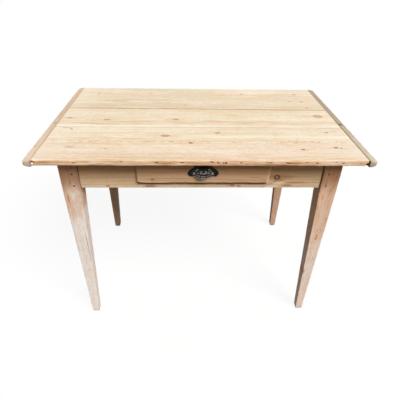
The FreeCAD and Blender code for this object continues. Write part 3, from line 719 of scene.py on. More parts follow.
def board_material(name, pith, seed, pale, deep, knots, seams, bands, stains):
    """Scrubbed pine: the layers above, bands along the grain, seam dirt, knots, stains and the outer edge."""
    parts = pine(name, "X", pith, 0.0036, 0.09, seed, pale, deep, knots, "Z", 0.55)
    place, colour = parts["place"], parts["colour"]
    x, y, z = apart(place)
    shifted = vectors("ADD", place, (seed, seed, 0.0))
    for stretch, detail, low, high, share, tint in BOARD_LAYERS:
        colour = blended(ramped(clouds(shifted, stretch, detail, 0.6), low, high, 0.0, share), colour, tint)
    flame = ramped(clouds(shifted, (7.0, 150.0, 0.0), 4.0, 0.65), 0.44, 0.62)
    drift = clouds(shifted, (4.0, 0.0, 0.0), 2.0)
    for centre, reach, streaky, share, left, right, tint in bands:
        bent = plus(y, sums("MULTIPLY_ADD", drift, 0.016, -0.008 - centre))
        band = ramped(sums("ABSOLUTE", bent), reach * 0.35, reach, 1.0, 0.0)
        band = times(band, ramped(x, -0.12, 0.12, left, right))
        band = times(band, flame, share) if streaky else times(band, share)
        colour = blended(band, colour, tint)
    bleached = ramped(sums("ABSOLUTE", x), 0.36, 0.53, 0.0, 0.30)
    bleached = times(bleached, ramped(drift, 0.30, 0.62, 0.5, 1.0))
    colour = blended(bleached, colour, tone(243, 232, 218))
    for row, (seam, broken, share, solid, fade, tint) in enumerate(seams):
        dashes = clouds(place, (30.0 + 18.0 * row, 90.0, 0.0), 2.0)
        spread = ramped(dashes, 0.50, 0.62) if broken else ramped(dashes, 0.28, 0.58, 0.55, 1.0)
        colour = blended(times(seam_mark(place, seam, solid, fade), spread, share), colour, tint)
    tints = (tone(226, 182, 140), tone(178, 118, 88), tone(136, 90, 68))
    colour = knotted(parts, colour, *tints, shares=(0.50, 0.70, 0.55))
    for tint, share, spots in stains:
        colour = spotted(parts, colour, tint, share, spots)
    joint = times(ramped(x, 0.5262, 0.5285, 0.0, 0.75), ramped(y, -0.08, 0.06, 1.0, 0.3))
    colour = blended(joint, colour, tone(104, 86, 70))
    warm = clouds(vectors("ADD", place, (seed, 0.0, 0.0)), (10.0, 60.0, 130.0), 4.0, 0.65)
    edge_colour = blended(ramped(warm, 0.40, 0.58), tone(250, 222, 188), tone(226, 178, 134))
    edge_colour = blended(ramped(warm, 0.56, 0.70), edge_colour, tone(184, 118, 82))
    colour = blended(times(ramped(z, 0.7660, 0.7694, 1.0, 0.0), 0.9), colour, edge_colour)
    for tint, share, spots in EDGE_SPOTS:
        colour = spotted(parts, colour, tint, share, spots)
    return finish_pine(parts, colour, 0.5, 0.25)


# Nail holes and bruises along the front edge: distance from the middle, height, half length and half height
EDGE_Y = -0.356
EDGE_MARKS = [
    ((x, EDGE_Y, z), (long, 0.02, tall))
    for x, z, long, tall in (
        (-0.254, 0.7625, 0.0050, 0.0022), (-0.1445, 0.7600, 0.0080, 0.0030), (-0.104, 0.7590, 0.0030, 0.0020),
        (-0.066, 0.7605, 0.0085, 0.0022), (0.026, 0.7625, 0.0060, 0.0026), (0.030, 0.7608, 0.0060, 0.0022),
        (0.047, 0.7612, 0.0022, 0.0040), (0.050, 0.7585, 0.0020, 0.0024), (0.064, 0.7590, 0.0026, 0.0046),
        (0.073, 0.7592, 0.0050, 0.0046), (0.120, 0.7600, 0.0045, 0.0026), (0.208, 0.7612, 0.0120, 0.0018),
        (0.216, 0.7598, 0.0070, 0.0020), (0.268, 0.7595, 0.0070, 0.0034), (0.276, 0.7585, 0.0060, 0.0024),
        (0.363, 0.7592, 0.0065, 0.0026), (0.446, 0.7590, 0.0062, 0.0028), (0.423, 0.7618, 0.0030, 0.0020),
        (-0.400, 0.7585, 0.0110, 0.0022), (0.330, 0.7620, 0.0060, 0.0016), (0.500, 0.7600, 0.0040, 0.0020),
    )
]
# Painted shade: near-black spots in the broken corners beside the cleats, where the gaps lie deep in shade.
CORNER_HOLE_SHADE = [
    ((-0.5240, -0.352, 0.7610), (0.0068, 0.014, 0.0060)),
    ((0.5255, -0.352, 0.7530), (0.0055, 0.014, 0.0055)),
]
PALE_NAIL = (-0.3385, EDGE_Y, 0.7610)
PALE_SPECK = ((-0.5275, -0.354, 0.7565), (0.0036, 0.014, 0.0036))
EDGE_SPOTS = [
    (tone(74, 46, 38), 0.9, EDGE_MARKS),
    (tone(36, 28, 26), 0.95, CORNER_HOLE_SHADE),
    (tone(250, 248, 244), 0.9, [(PALE_NAIL, (0.0062, 0.02, 0.0062)), PALE_SPECK]),
    (tone(70, 60, 60), 0.9, [(PALE_NAIL, (0.0022, 0.02, 0.0022))]),
]
PLAN_SCALE = 0.7524 / 1000.0
PLAN_MIDDLE = (750.0, 489.5)
PLAN_SHIFT = 0.0035


def spot(plan_x, plan_y, size=1.0, flat=0.7):
    """A knot from its place on a plan drawing of the top: centre, radius along the grain and across it."""
    x = (plan_x - PLAN_MIDDLE[0]) * PLAN_SCALE
    y = (PLAN_MIDDLE[1] - plan_y) * PLAN_SCALE + PLAN_SHIFT
    return (x, y, 0.77), size * PLAN_SCALE, size * PLAN_SCALE * flat


def stain(plan_x, plan_y, half_length, half_width):
    """A stain from its place on the plan drawing, with its half sizes in mm."""
    return spot(plan_x, plan_y)[0], (half_length / 1000.0, half_width / 1000.0, 0.0)


# Seams in mm from the middle, at their left and right ends
seam_one = (95.5, 87.5)
seam_two = (-97.0, -100.0)
seam_three = (-220.5, -222.5)
y_back = (362.5, 362.5)
y_front = (-355.5, -355.5)
HALF_GAP = {seam_one: 0.6, seam_two: 0.2, seam_three: 0.2, y_back: 0.0, y_front: 0.0}
FLAME = tone(218, 176, 128)
SAPWOOD = tone(254, 246, 230)
GREY_STAIN = tone(168, 154, 134)
DARK_STAIN = tone(96, 70, 60)
OPEN_SEAM = (seam_one, False, 0.90, 0.0016, 0.0050, tone(158, 98, 62))
CLOSED_SEAM = (seam_two, False, 0.60, 0.0010, 0.0030, tone(158, 124, 98))
TORN_SEAM = (seam_three, True, 0.80, 0.0026, 0.0070, tone(194, 134, 92))
PALE_SEAM = ((-226.0, -227.0), True, 0.70, 0.0014, 0.0044, SAPWOOD)

# Per board: its two seams, pith, seed, pale and deep tones, knots, seam dirt, bands along the grain, stains
board_looks = {
    "back_board": (
        y_back, seam_one, (0.0, 0.17, 0.70), 13.1, tone(225, 212, 189), tone(193, 168, 132),
        [spot(155, 112, 9), spot(463, 105, 8), spot(1018, 113, 9), spot(1343, 112, 11),
         spot(1353, 240, 13, 0.5), spot(1285, 238, 10, 0.5), spot(1358, 343, 9), spot(680, 310, 8)],
        [OPEN_SEAM],
        [(0.118, 0.030, True, 0.7, 0.7, 1.0, FLAME), (0.250, 0.060, True, 0.6, 0.6, 1.0, FLAME)],
        [],
    ),
    "second_board": (
        seam_one, seam_two, (0.0, -0.06, 0.69), 14.7, tone(233, 220, 197), tone(208, 183, 147),
        [spot(88, 510, 12), spot(279, 532, 14), spot(627, 523, 14), spot(1380, 470, 22, 0.8)],
        [OPEN_SEAM, CLOSED_SEAM],
        [(-0.050, 0.026, True, 0.95, 0.9, 1.0, FLAME), (-0.088, 0.014, False, 0.50, 1.0, 0.45, SAPWOOD),
         (0.070, 0.020, True, 0.5, 0.5, 0.8, FLAME)],
        [(FLAME, 0.6, [stain(920, 462, 40, 14)]), (GREY_STAIN, 0.5, [stain(800, 540, 24, 5)])],
    ),
    "third_board": (
        seam_two, seam_three, (0.0, -0.20, 0.71), 16.3, tone(237, 225, 202), tone(214, 190, 155),
        [spot(583, 725, 18), spot(831, 690, 12), spot(1362, 678, 7)],
        [CLOSED_SEAM, TORN_SEAM, PALE_SEAM],
        [(-0.205, 0.022, True, 0.7, 1.0, 0.7, FLAME), (-0.180, 0.012, False, 0.3, 0.2, 1.0, SAPWOOD)],
        [(GREY_STAIN, 0.6, [stain(130, 650, 9, 9), stain(105, 636, 26, 6), stain(1400, 668, 16, 4)]),
         (DARK_STAIN, 0.55, [stain(134, 655, 4, 4), stain(1362, 680, 8, 5)])],
    ),
    "front_board": (
        seam_three, y_front, (0.0, -0.33, 0.69), 17.9, tone(234, 217, 195), tone(212, 182, 147),
        [spot(702, 801, 11), spot(1197, 866, 8), spot(1350, 846, 10)],
        [TORN_SEAM, PALE_SEAM],
        [(-0.345, 0.024, True, 0.8, 1.0, 1.0, FLAME), (-0.236, 0.020, True, 0.6, 1.0, 0.6, FLAME)],
        [(GREY_STAIN, 0.65, [stain(174, 845, 26, 8), stain(328, 860, 6, 5)]),
         (DARK_STAIN, 0.9, [stain(334, 861, 3, 3), stain(702, 801, 9, 5), stain(1197, 866, 9, 4),
                            stain(1350, 846, 9, 4), stain(1372, 852, 4, 6), stain(1250, 848, 7, 2)])],
    ),
}

# Broken corners and nail holes as dents in the front edge, in mm: place, half length, half height and depth
CORNER_CHIPS = [(-526.0, 761.5, 5.0, 4.5, 8.0), (525.5, 753.0, 5.0, 5.0, 8.0)]
HOLE_DEPTH = 1.8
HOLE_SHARE = 0.85
NAIL_HOLES = [
    (1000 * x, 1000 * z, 1000 * HOLE_SHARE * long, 1000 * HOLE_SHARE * tall, HOLE_DEPTH)
    for (x, _, z), (long, _, tall) in EDGE_MARKS
]
HOLE_COLUMNS = [
    BOARD_X + x + share * half for x, _, half, _, _ in NAIL_HOLES for share in (-1.2, -0.7, 0.0, 0.7, 1.2)
]
for name, (back, front, pith, seed, pale, deep, knots, seams, bands, stains) in board_looks.items():
    far = tuple(y - HALF_GAP[back] for y in back)
    near = tuple(y + HALF_GAP[front] for y in front)
    width = board_width(far, near)
    front_edge, back_edge = front is y_front, back is y_back
    low = EDGE_ROUND if front_edge else SEAM_ROUND
    high = EDGE_ROUND if back_edge else SEAM_ROUND
    upright = max(low, high) * 0.99
    ends = np.arange(2.5, 12.0, 1.5)
    length = steps_along(BOARD_LENGTH, SEAM_ROUND, SEAM_ROUND, 150)
    length = np.sort([*length, *ends, *(BOARD_LENGTH - ends)])
    if front_edge:
        length = [x for x in length if min(abs(x - column) for column in HOLE_COLUMNS) > 0.4]
        length = np.unique(np.round(length + HOLE_COLUMNS, 1))
    steps = (
        length,
        steps_along(width, low, high, max(8, int(width / 9))),
        steps_along(TOP_THICKNESS, upright, upright, 11 if front_edge else 3),
    )
    place = board_place(far, near, CORNER_CHIPS + NAIL_HOLES if front_edge else ())
    rounding = board_rounding(front_edge, back_edge, width)
    size = (BOARD_LENGTH, width, TOP_THICKNESS)
    board = worn_block(name + "_worn", size, steps, rounding, place, seed, 0.3, 0.3)
    look = board_material(name + "_pine", pith, seed, pale, deep, knots, seams, bands, stains)
    dress(board, look, "table", "top_pine", name)


# End cleats. Cross strips grooved over the boards' ends to keep them flat, each pegged once.
# Pine too, the left one pinkish and the right one greyer, with round noses and dirty front ends.
CLEAT_WIDTH = 26.0
CLEAT_LENGTH = 725.0
CLEAT_Y = -362.5
CLEAT_JOINT_ROUND = np.array((0.8, 3.0, 0.8))
CLEAT_NOSE_ROUND = np.array((8.5, 11.0, 6.5))
CLEAT_PEG_X = 0.537
CLEAT_PEG_Y = -0.0643


def cleat_rounding(side):
    """Radii that grow from the joint with the boards to the round nose."""

    def rounding(points):
        outer = points[:, 0] / CLEAT_WIDTH if side > 0 else 1.0 - points[:, 0] / CLEAT_WIDTH
        outer = np.clip((outer - 0.25) / 0.5, 0.0, 1.0)
        return CLEAT_JOINT_ROUND + (CLEAT_NOSE_ROUND - CLEAT_JOINT_ROUND) * outer[:, None]

    return rounding


def cleat_place(side):
    """Sets a cleat against the boards' ends."""
    corner = (BOARD_X if side > 0 else -BOARD_X - CLEAT_WIDTH, CLEAT_Y, TOP_Z)
    return lambda points: points + corner


def cleat_material(name, pith, seed, pale, deep, dirt_and_painted_shade, joint, nose, fade):
    """Blotched pine, grained across the table, dirty on the front end and along the joint where it opened."""
    parts = pine(name, "Y", pith, 0.0030, 0.04, seed, pale, deep, (), "Z", 0.6)
    place = parts["place"]
    x, y, z = apart(place)
    blotch = clouds(place, (40.0, 12.0, 40.0), 4.0, 0.6)
    colour = blended(ramped(blotch, 0.45, 0.7, 0.0, 0.6), parts["colour"], dirt_and_painted_shade)
    marks = clouds(place, (160.0, 60.0, 160.0), 3.0, 0.6)
    colour = blended(ramped(marks, 0.58, 0.72, 0.0, 0.5), colour, tone(136, 116, 96))
    inner = minus(sums("ABSOLUTE", x), BOARD_X / 1000.0)
    gap = times(ramped(inner, 0.0008, 0.0036, joint, 0.0), ramped(y, -0.08, 0.06, 1.0, 0.25))
    colour = blended(gap, colour, tone(92, 76, 62))
    end = plus(y, times(minus(blotch, 0.5), 0.05))
    grime = times(ramped(end, -0.364, -0.350, nose, 0.0), ramped(z, 0.750, 0.768, 1.0, 0.35))
    colour = blended(grime, colour, tone(138, 126, 114))
    colour = spotted(parts, colour, tone(46, 43, 46), 0.95, PEG_STAINS)
    back = ramped(sums("MULTIPLY_ADD", blotch, 0.3, y), -0.25, 0.25, 0.0, fade)
    colour = blended(back, colour, tone(206, 192, 178), "MULTIPLY")
    return finish_pine(parts, colour, 0.55, 0.3)


PEG_STAINS = [((CLEAT_PEG_X + 0.001, CLEAT_PEG_Y, 0.77), (0.0080, 0.0135, 0.0))]

# Per cleat: side, pith, seed, pale and deep tones, tint of the blotches, dirt at joint and nose, fading
cleat_looks = {
    "left_end_cleat": (
        -1, (0.0, -0.53, 0.70), 19.1, tone(235, 212, 187), tone(208, 176, 148), tone(226, 206, 186),
        0.45, 0.30, 0.50,
    ),
    "right_end_cleat": (
        1, (0.0, 0.55, 0.69), 20.3, tone(218, 203, 182), tone(184, 163, 140), tone(200, 190, 174),
        0.9, 0.55, 0.9,
    ),
}
for name, (side, pith, seed, pale, deep, dirt_and_painted_shade, joint, nose_dirt, fade) in cleat_looks.items():
    across, along, upright = CLEAT_NOSE_ROUND
    arrises = (CLEAT_JOINT_ROUND[0], across)
    steps = (
        steps_along(CLEAT_WIDTH, *arrises[::side], 1),
        steps_along(CLEAT_LENGTH, along, along, 110),
        steps_along(TOP_THICKNESS, upright, upright, 1),
    )
    size = (CLEAT_WIDTH, CLEAT_LENGTH, TOP_THICKNESS)
    cleat = worn_block(name + "_worn", size, steps, cleat_rounding(side), cleat_place(side), seed, 0.4, 0.10)
    look = cleat_material(name + "_pine", pith, seed, pale, deep, dirt_and_painted_shade, joint, nose_dirt, fade)
    dress(cleat, look, "table", "cleat_pine", name)


# Pegs. Riven oak pins through the leg joints and the cleats, cut off almost flush.
# Their ends are dark with dirt and wax, and the end grain has pulled them slightly out of round.
def peg_material():
    material, _, shader, place = new_material("peg_end_grain")
    pores = ramped(clouds(place, 900.0, 3.0, 0.6), 0.42, 0.66)
    feed(
        shader, pores, 0.4, 0.0004,
        Base_Color=blended(pores, tone(96, 72, 56), tone(46, 34, 28)),
        Roughness=ramped(pores, 0.0, 1.0, 0.5, 0.8),
    )
    return material


def step(tree, kind, values, **settings):
    """One node with its settings made and its inputs fed. Gives its first output."""
    node = tree.nodes.new(kind)
    for label, value in settings.items():
        setattr(node, label, value)
    for label, value in values.items():
        join(node.inputs[label], value)
    return node.outputs[0]


def drawn(tree, seed, low, high):
    """A random vector for each point, between two corners."""
    values = {"Seed": seed, "Min": low, "Max": high}
    return step(tree, "FunctionNodeRandomValue", values, data_type="FLOAT_VECTOR")


def plant(tree, given, gives, piece, seed, most_turn, girth=None):
    """Ends a group: sets a piece on each point along the point's axis, turned at random, and colours it."""
    axis = step(tree, "GeometryNodeInputNamedAttribute", {"Name": "axis"}, data_type="FLOAT_VECTOR")
    aim = step(tree, "FunctionNodeAlignRotationToVector", {"Vector": axis}, axis="Z")
    turn = {"Rotation": aim, "Rotate By": drawn(tree, seed, (0.0, 0.0, 0.0), (0.0, 0.0, most_turn))}
    turned = step(tree, "FunctionNodeRotateRotation", turn, rotation_space="LOCAL")
    pieces = {"Points": given["Geometry"], "Instance": piece, "Rotation": turned, "Scale": girth}
    row = step(tree, "GeometryNodeInstanceOnPoints", pieces)
    whole = step(tree, "GeometryNodeRealizeInstances", {"Geometry": row})
    looks = {"Geometry": whole, "Material": given["Material"]}
    join(gives["Geometry"], step(tree, "GeometryNodeSetMaterial", looks))


# Pegs at points: each a pin along the point's axis, turned at random, a little out of round, with a dome
pegs_at_points, given, gives = new_group(
    "pegs_at_points", "GeometryNodeTree",
    {"Geometry": "Geometry", "Radius": "Float", "Length": "Float", "Dome": "Float", "Material": "Material"},
    {"Geometry": "Geometry"},
)
pin_sizes = {"Radius": given["Radius"], "Depth": given["Length"]}
pin_sizes.update({"Vertices": 20, "Side Segments": 1, "Fill Segments": 4})
pin = step(pegs_at_points, "GeometryNodeMeshCylinder", pin_sizes)
x, y, z = apart(pegs_at_points.nodes.new("GeometryNodeInputPosition").outputs[0])
squared = plus(sums("POWER", x, 2.0), sums("POWER", y, 2.0))
squared = sums("DIVIDE", squared, sums("POWER", given["Radius"], 2.0))
lowered = times(squared, given["Dome"], sums("GREATER_THAN", z, 0.0))
domed = {"Geometry": pin, "Offset": combined(z=times(lowered, -1.0))}
pin = step(pegs_at_points, "GeometryNodeSetPosition", domed)
girth = drawn(pegs_at_points, 11, (0.90, 0.90, 1.0), (1.0, 1.0, 1.0))
plant(pegs_at_points, given, gives, pin, 7, 2 * math.pi, girth)


def from_points(name, group, points, axes, values):
    """A plain mesh made by a geometry group from points with an axis each."""
    seeds = bpy.data.meshes.new(name + "_points")
    seeds.from_pydata([tuple(p) for p in points], [], [])
    directions = [value for axis in axes for value in axis]
    seeds.attributes.new("axis", "FLOAT_VECTOR", "POINT").data.foreach_set("vector", directions)
    maker = put(name + "_maker", seeds)
    modifier = maker.modifiers.new("nodes", "NODES")
    modifier.node_group = group
    for item in group.interface.items_tree:
        if item.in_out == "INPUT" and item.name in values:
            modifier[item.identifier] = values[item.name]
    bpy.context.view_layer.update()
    made = bpy.data.meshes.new_from_object(maker.evaluated_get(bpy.context.evaluated_depsgraph_get()))
    bpy.data.objects.remove(maker)
    return put(name, made)


PEG_RADIUS = 0.0035
PEG_LENGTH = 0.0346
PEG_PROUD = 0.0006
PEG_DOME = 0.0005
FRONT_PEG_X = 0.427
FRONT_PEG_HEIGHTS = (0.651, 0.696)
SIDE_PEG_HEIGHTS = (0.665, 0.710)
SIDE_PEG_INSET = 0.041
peg_wood = peg_material()
peg_middle = PEG_PROUD - PEG_LENGTH / 2
peg_points = []
peg_axes = []
for side in (-1, 1):
    for end in (-1, 1):
        face = LEG_Y[end] / 1000.0
        for z in FRONT_PEG_HEIGHTS:
            peg_points.append((side * FRONT_PEG_X, face + end * peg_middle, z))
            peg_axes.append((0.0, end, 0.0))
        for z in SIDE_PEG_HEIGHTS:
            peg_points.append((side * (LEG_X / 1000.0 + peg_middle), face - end * SIDE_PEG_INSET, z))
            peg_axes.append((side, 0.0, 0.0))
peg_values = {"Radius": PEG_RADIUS, "Length": PEG_LENGTH, "Dome": PEG_DOME, "Material": peg_wood}
joint_pegs = from_points("joint_pegs_cut", pegs_at_points, peg_points, peg_axes, peg_values)
dress(joint_pegs, peg_wood, "table", "peg_wood", "joint_pegs")
cleat_peg_z = (TOP_Z + TOP_THICKNESS / 2) / 1000.0 + PEG_PROUD
cleat_points = [(side * CLEAT_PEG_X, CLEAT_PEG_Y, cleat_peg_z) for side in (-1, 1)]
cleat_axes = [(0.0, 0.0, 1.0)] * 2
cleat_values = {**peg_values, "Length": TOP_THICKNESS / 1000.0}
cleat_pegs = from_points("end_cleat_pegs_cut", pegs_at_points, cleat_points, cleat_axes, cleat_values)
dress(cleat_pegs, peg_wood, "table", "peg_wood", "end_cleat_pegs")


# Drawer. A lipped pine front with sides dovetailed into it, a housed back and a thin bottom in grooves.
# The front is stripped like the aprons, its edges rounded by use, with a chip off the lower left corner.
LIP_CORNER = (-216.0, -320.8, 665.0)
LIP_SIZE = (440.0, 10.0, 81.0)
LIP_ROUND = 4.0
LIP_BACK_ROUND = 0.7
LIP_LEAN = 7.0
LIP_CHIP = (12.0, 5.0)
REAR_CUT = -0.3107
REAR_LET_IN = 0.0003
DRAWER_EASE = 0.0006
BOTTOM_EASE = 0.0004


def lip_rounding(points):
    radii = np.where(points[:, 1] < LIP_SIZE[1] / 2, LIP_ROUND, LIP_BACK_ROUND)
    return np.repeat(radii[:, None], 3, axis=1)


def lip_place(points):
    """Sets the front in place, its right end leaning out and a piece broken off the lower left corner."""
    placed = points + LIP_CORNER
    across, up = points[:, 0] / LIP_SIZE[0], points[:, 2] / LIP_SIZE[2]
    placed[:, 0] += LIP_LEAN * np.clip(across * 6.0 - 5.0, 0.0, 1.0) * up
    broken = np.clip(1.0 - points[:, 0] / LIP_CHIP[0], 0.0, 1.0) * np.clip(1.0 - up * 3.0, 0.0, 1.0)
    placed[:, 2] += LIP_CHIP[1] * broken
    return placed


def drawer_front_material():
    """Stripped pine with painted shade towards the top and along the lower edge, and a painted highlight
    along the right end.
    """
    knots = [((-0.164, -0.32, 0.679), 0.005, 0.0035), ((0.05, -0.32, 0.735), 0.006, 0.004)]
    pith, pale, deep = (0.0, -0.25, 0.62), tone(224, 189, 153), tone(188, 142, 103)
    parts = pine("drawer_front_pine", "X", pith, 0.0042, 0.06, 22.1, pale, deep, knots, "Y", 0.7)
    x, _, height = apart(parts["place"])
    colour = knotted(parts, parts["colour"], tone(206, 150, 104), tone(150, 100, 70), tone(98, 66, 48))
    streaks = clouds(parts["place"], (7.0, 0.0, 110.0), 4.0, 0.65)
    colour = blended(ramped(streaks, 0.50, 0.72, 0.0, 0.5), colour, tone(186, 130, 88))
    # Painted highlight: a paler strip along the right end, where its rounded edge catches the light from the
    # right.
    lean = minus(x, sums("MULTIPLY_ADD", height, 0.09, 0.164))
    colour = blended(ramped(lean, -0.010, -0.001, 0.0, 0.7), colour, tone(246, 218, 178))
    # Painted shade towards the top, under the overhang of the top, and along the lower edge, which faces
    # down.
    colour = blended(ramped(height, 0.672, 0.718, 0.0, 0.6), colour, tone(174, 138, 98), "MULTIPLY")
    colour = blended(ramped(height, 0.6645, 0.6665, 0.7, 0.0), colour, tone(120, 84, 58), "MULTIPLY")
    return finish_pine(parts, colour, 0.55, 0.25)


drawer_front_pine = drawer_front_material()
lip_steps = (
    steps_along(LIP_SIZE[0], LIP_ROUND, LIP_ROUND, 90),
    steps_along(LIP_SIZE[1], LIP_ROUND, LIP_BACK_ROUND, 1),
    steps_along(LIP_SIZE[2], LIP_ROUND, LIP_ROUND, 16),
)
lip = worn_block("drawer_front_lip", LIP_SIZE, lip_steps, lip_rounding, lip_place, 23.3, 0.25, 0.3)
rear = merged_shape("drawer_front")
everything = [*rear.verts, *rear.edges, *rear.faces]
bmesh.ops.bisect_plane(
    rear, geom=everything, plane_co=(0, REAR_CUT, 0), plane_no=(0, -1, 0), clear_outer=True
)
bmesh.ops.holes_fill(rear, edges=[e for e in rear.edges if e.is_boundary], sides=0)
for vert in rear.verts:
    if vert.co.y < REAR_CUT + 1e-6:
        vert.co.y -= REAR_LET_IN
flatten(rear)
rear_piece = put_shape("drawer_front_rear", rear)
dress(lip, drawer_front_pine, "drawer", "drawer_pine", "drawer_front")
dress(rear_piece, drawer_front_pine, "drawer", "drawer_pine", "drawer_front")
for name in ("drawer_left_side", "drawer_right_side"):
    dress(eased_copy(name, DRAWER_EASE), bare_along_y, "drawer", "inner_pine", name)
dress(eased_copy("drawer_back", DRAWER_EASE), bare_along_x, "drawer", "inner_pine", "drawer_back")
dress(eased_copy("drawer_bottom", BOTTOM_EASE), bare_along_x, "drawer", "inner_pine", "drawer_bottom")


# Cup pull. A hollow cast-iron shell, open below, held by a screw through each ear.
# Cast with leaves and scrolls about a small rosette, a rope edge and a plain raised rim.
# Black in the hollows and rubbed to bare grey metal on the raised parts.
PULL_CENTRE = np.array((4.0, -320.8, 693.0))
PULL_HALF_WIDTH = 54.5
PULL_HEIGHT = 44.0
PULL_SQUARE = 1.8
PULL_PLATE = 3.0
DOME_HALF_WIDTH = 35.0
DOME_RISE = 16.6
DOME_HEIGHT = 36.0
DOME_WALL = 2.6
DOME_OUTSIDE = (DOME_HALF_WIDTH, DOME_HEIGHT)
DOME_INSIDE = (DOME_HALF_WIDTH - DOME_WALL, DOME_HEIGHT - DOME_WALL)
PATTERN_RISE = 1.3
BAND_HEIGHT = 3.0
BAND_RISE = 0.9
RIM_RISE = 1.2
RIM_DROP = 1.7
DOME_SUNK = 0.5
PLATE_SUNK = 0.6
AROUND_STEPS = 168
DOME_STEPS = 60
PLATE_STEPS = 14

# The right half of the pattern, by distance across and distance up from the open edge.
# Scrolls: eye, size and hand. Leaves: stalk, tip, half width and height.
SCROLLS = [(18.5, 26.0, 5.8, 1.0), (25.0, 18.5, 4.6, -1.0)]
LEAVES = [
    (0.0, 16.5, 0.0, 8.6, 1.9, 1.0), (2.6, 16.6, 7.0, 8.8, 2.3, 1.0), (4.4, 18.2, 14.5, 10.4, 2.6, 1.0),
    (5.0, 20.8, 17.0, 19.0, 2.4, 0.9), (13.5, 15.6, 24.0, 9.4, 2.6, 1.0), (4.7, 23.2, 13.0, 28.5, 2.4, 0.85),
    (2.2, 25.8, 6.5, 35.0, 2.4, 0.8), (16.0, 21.5, 25.0, 13.0, 2.2, 0.85), (16.0, 30.0, 30.0, 21.0, 3.2, 1.0),
    (25.5, 12.0, 35.5, 6.5, 2.6, 1.0), (29.0, 10.0, 41.0, 14.5, 2.8, 1.0), (29.0, 18.0, 40.0, 23.5, 2.8, 1.0),
    (24.0, 24.0, 33.0, 32.0, 2.6, 1.0),
]
ROSETTE_UP = 21.5


def bell(distance, width):
    return np.exp(-((distance / width) ** 2))


def inside_unit(value):
    return np.clip(value, 0.0, 1.0)


def leaf(x, q, x0, q0, x1, q1, half_width):
    """A pointed leaf from a stalk to a tip, with a groove down its middle and curled side lobes."""
    length = math.hypot(x1 - x0, q1 - q0)
    along = ((x - x0) * (x1 - x0) + (q - q0) * (q1 - q0)) / length**2
    across = ((q - q0) * (x1 - x0) - (x - x0) * (q1 - q0)) / length
    inside = inside_unit(along)
    lobes = 1.0 + 0.22 * np.sin(inside * math.pi * 5.0)
    width = half_width * (np.sin(np.sqrt(inside) * math.pi) ** 0.8) * lobes + 0.05
    body = inside_unit(1.0 - (across / width) ** 2) ** 0.6
    body = np.where((along > 0.0) & (along < 1.0), body, 0.0)
    vein = 0.45 * bell(across, 0.35) + 0.14 * (0.5 + 0.5 * np.cos(along * 34.0 + np.abs(across) * 1.6))
    return body * (1.0 - vein)


def scroll(x, q, x0, q0, size, hand):
    """A curled tendril: a ridge that winds in to an eye."""
    dx, dq = (x - x0) * hand, q - q0
    distance = np.hypot(dx, dq)
    turn = np.arctan2(dq, dx)
    ridge = 0.5 + 0.5 * np.cos(turn - distance / size * 11.0)
    return np.where(distance < size, ridge**1.3 * inside_unit((size - distance) / (0.25 * size)), 0.0)


def pull_pattern(x, z):
    """The cast pattern's height, 0 to 1, by distance across and height above the open edge."""
    q = 28.0 * np.arcsin(inside_unit(z / DOME_HEIGHT))
    height = np.zeros_like(x)
    for hand in (-1.0, 1.0):
        for x0, q0, size, way in SCROLLS:
            height = np.maximum(height, scroll(x, q, hand * x0, q0, size, hand * way))
        for x0, q0, x1, q1, half_width, high in LEAVES:
            height = np.maximum(height, leaf(x, q, hand * x0, q0, hand * x1, q1, half_width) * high)
    distance = np.hypot(x, q - ROSETTE_UP)
    turn = np.arctan2(q - ROSETTE_UP, x)
    ring = inside_unit(1.0 - ((distance - 2.9) / 1.8) ** 2)
    petals = ring * (0.2 + 0.8 * np.abs(np.cos(turn * 3.0)) ** 0.7)
    petals = petals * (1.0 - 0.4 * bell(np.sin(turn * 6.0), 0.25))
    height = np.maximum(height, np.maximum(petals * 0.75, 0.4 * bell(distance, 1.0)))
    slant = (x + 1.9 * q) * math.pi / 4.6
    rope = 0.30 + 0.56 * np.abs(np.cos(slant)) ** 1.1
    rope = rope * inside_unit((9.2 - q) / 1.4) * inside_unit(q - 3.4)
    # Painted shade: the pattern is lowered towards the crown, so less of it shows rubbed bright there, as the
    # top's overhang keeps the light off the upper part. This lowers the relief there too.
    crown = inside_unit((q - 22.0) / 16.0)
    return np.maximum(height * (1.0 - 0.45 * crown), rope)


def plate_edge(turn):
    """How far the plate reaches, as seen from the front, at an angle about the middle of the open edge."""
    wide, high = np.abs(np.cos(turn)) / PULL_HALF_WIDTH, np.sin(turn) / PULL_HEIGHT
    reach = (wide**PULL_SQUARE + high**PULL_SQUARE) ** (-1 / PULL_SQUARE)
    ears = 1.0 - 0.17 * bell(np.sin(turn), 0.12)
    shoulders = 1.0 - 0.04 * bell(np.sin(turn) - 0.6, 0.15)
    return reach * ears * shoulders


def dome_swell(x, z, half_width, height):
    """The dome's height above the plate, 0 to 1: it sweeps out from the ears and is full at the crown."""
    sides = inside_unit(1.0 - (x / half_width) ** 2) ** 2.2
    return sides * np.sqrt(inside_unit(1.0 - (z / height) ** 2))


def dome_outward(x, z, apart_by=0.05):
    """The direction straight out of the dome."""
    slope_x = dome_swell(x + apart_by, z, *DOME_OUTSIDE) - dome_swell(x - apart_by, z, *DOME_OUTSIDE)
    slope_z = dome_swell(x, z + apart_by, *DOME_OUTSIDE) - dome_swell(x, z - apart_by, *DOME_OUTSIDE)
    across = -DOME_RISE * (slope_x / (2 * apart_by))
    upward = np.clip(-DOME_RISE * (slope_z / (2 * apart_by)), -3.0, 3.0)
    outward = np.stack([across, np.ones_like(x), upward], axis=-1)
    return outward / np.linalg.norm(outward, axis=1)[:, None]


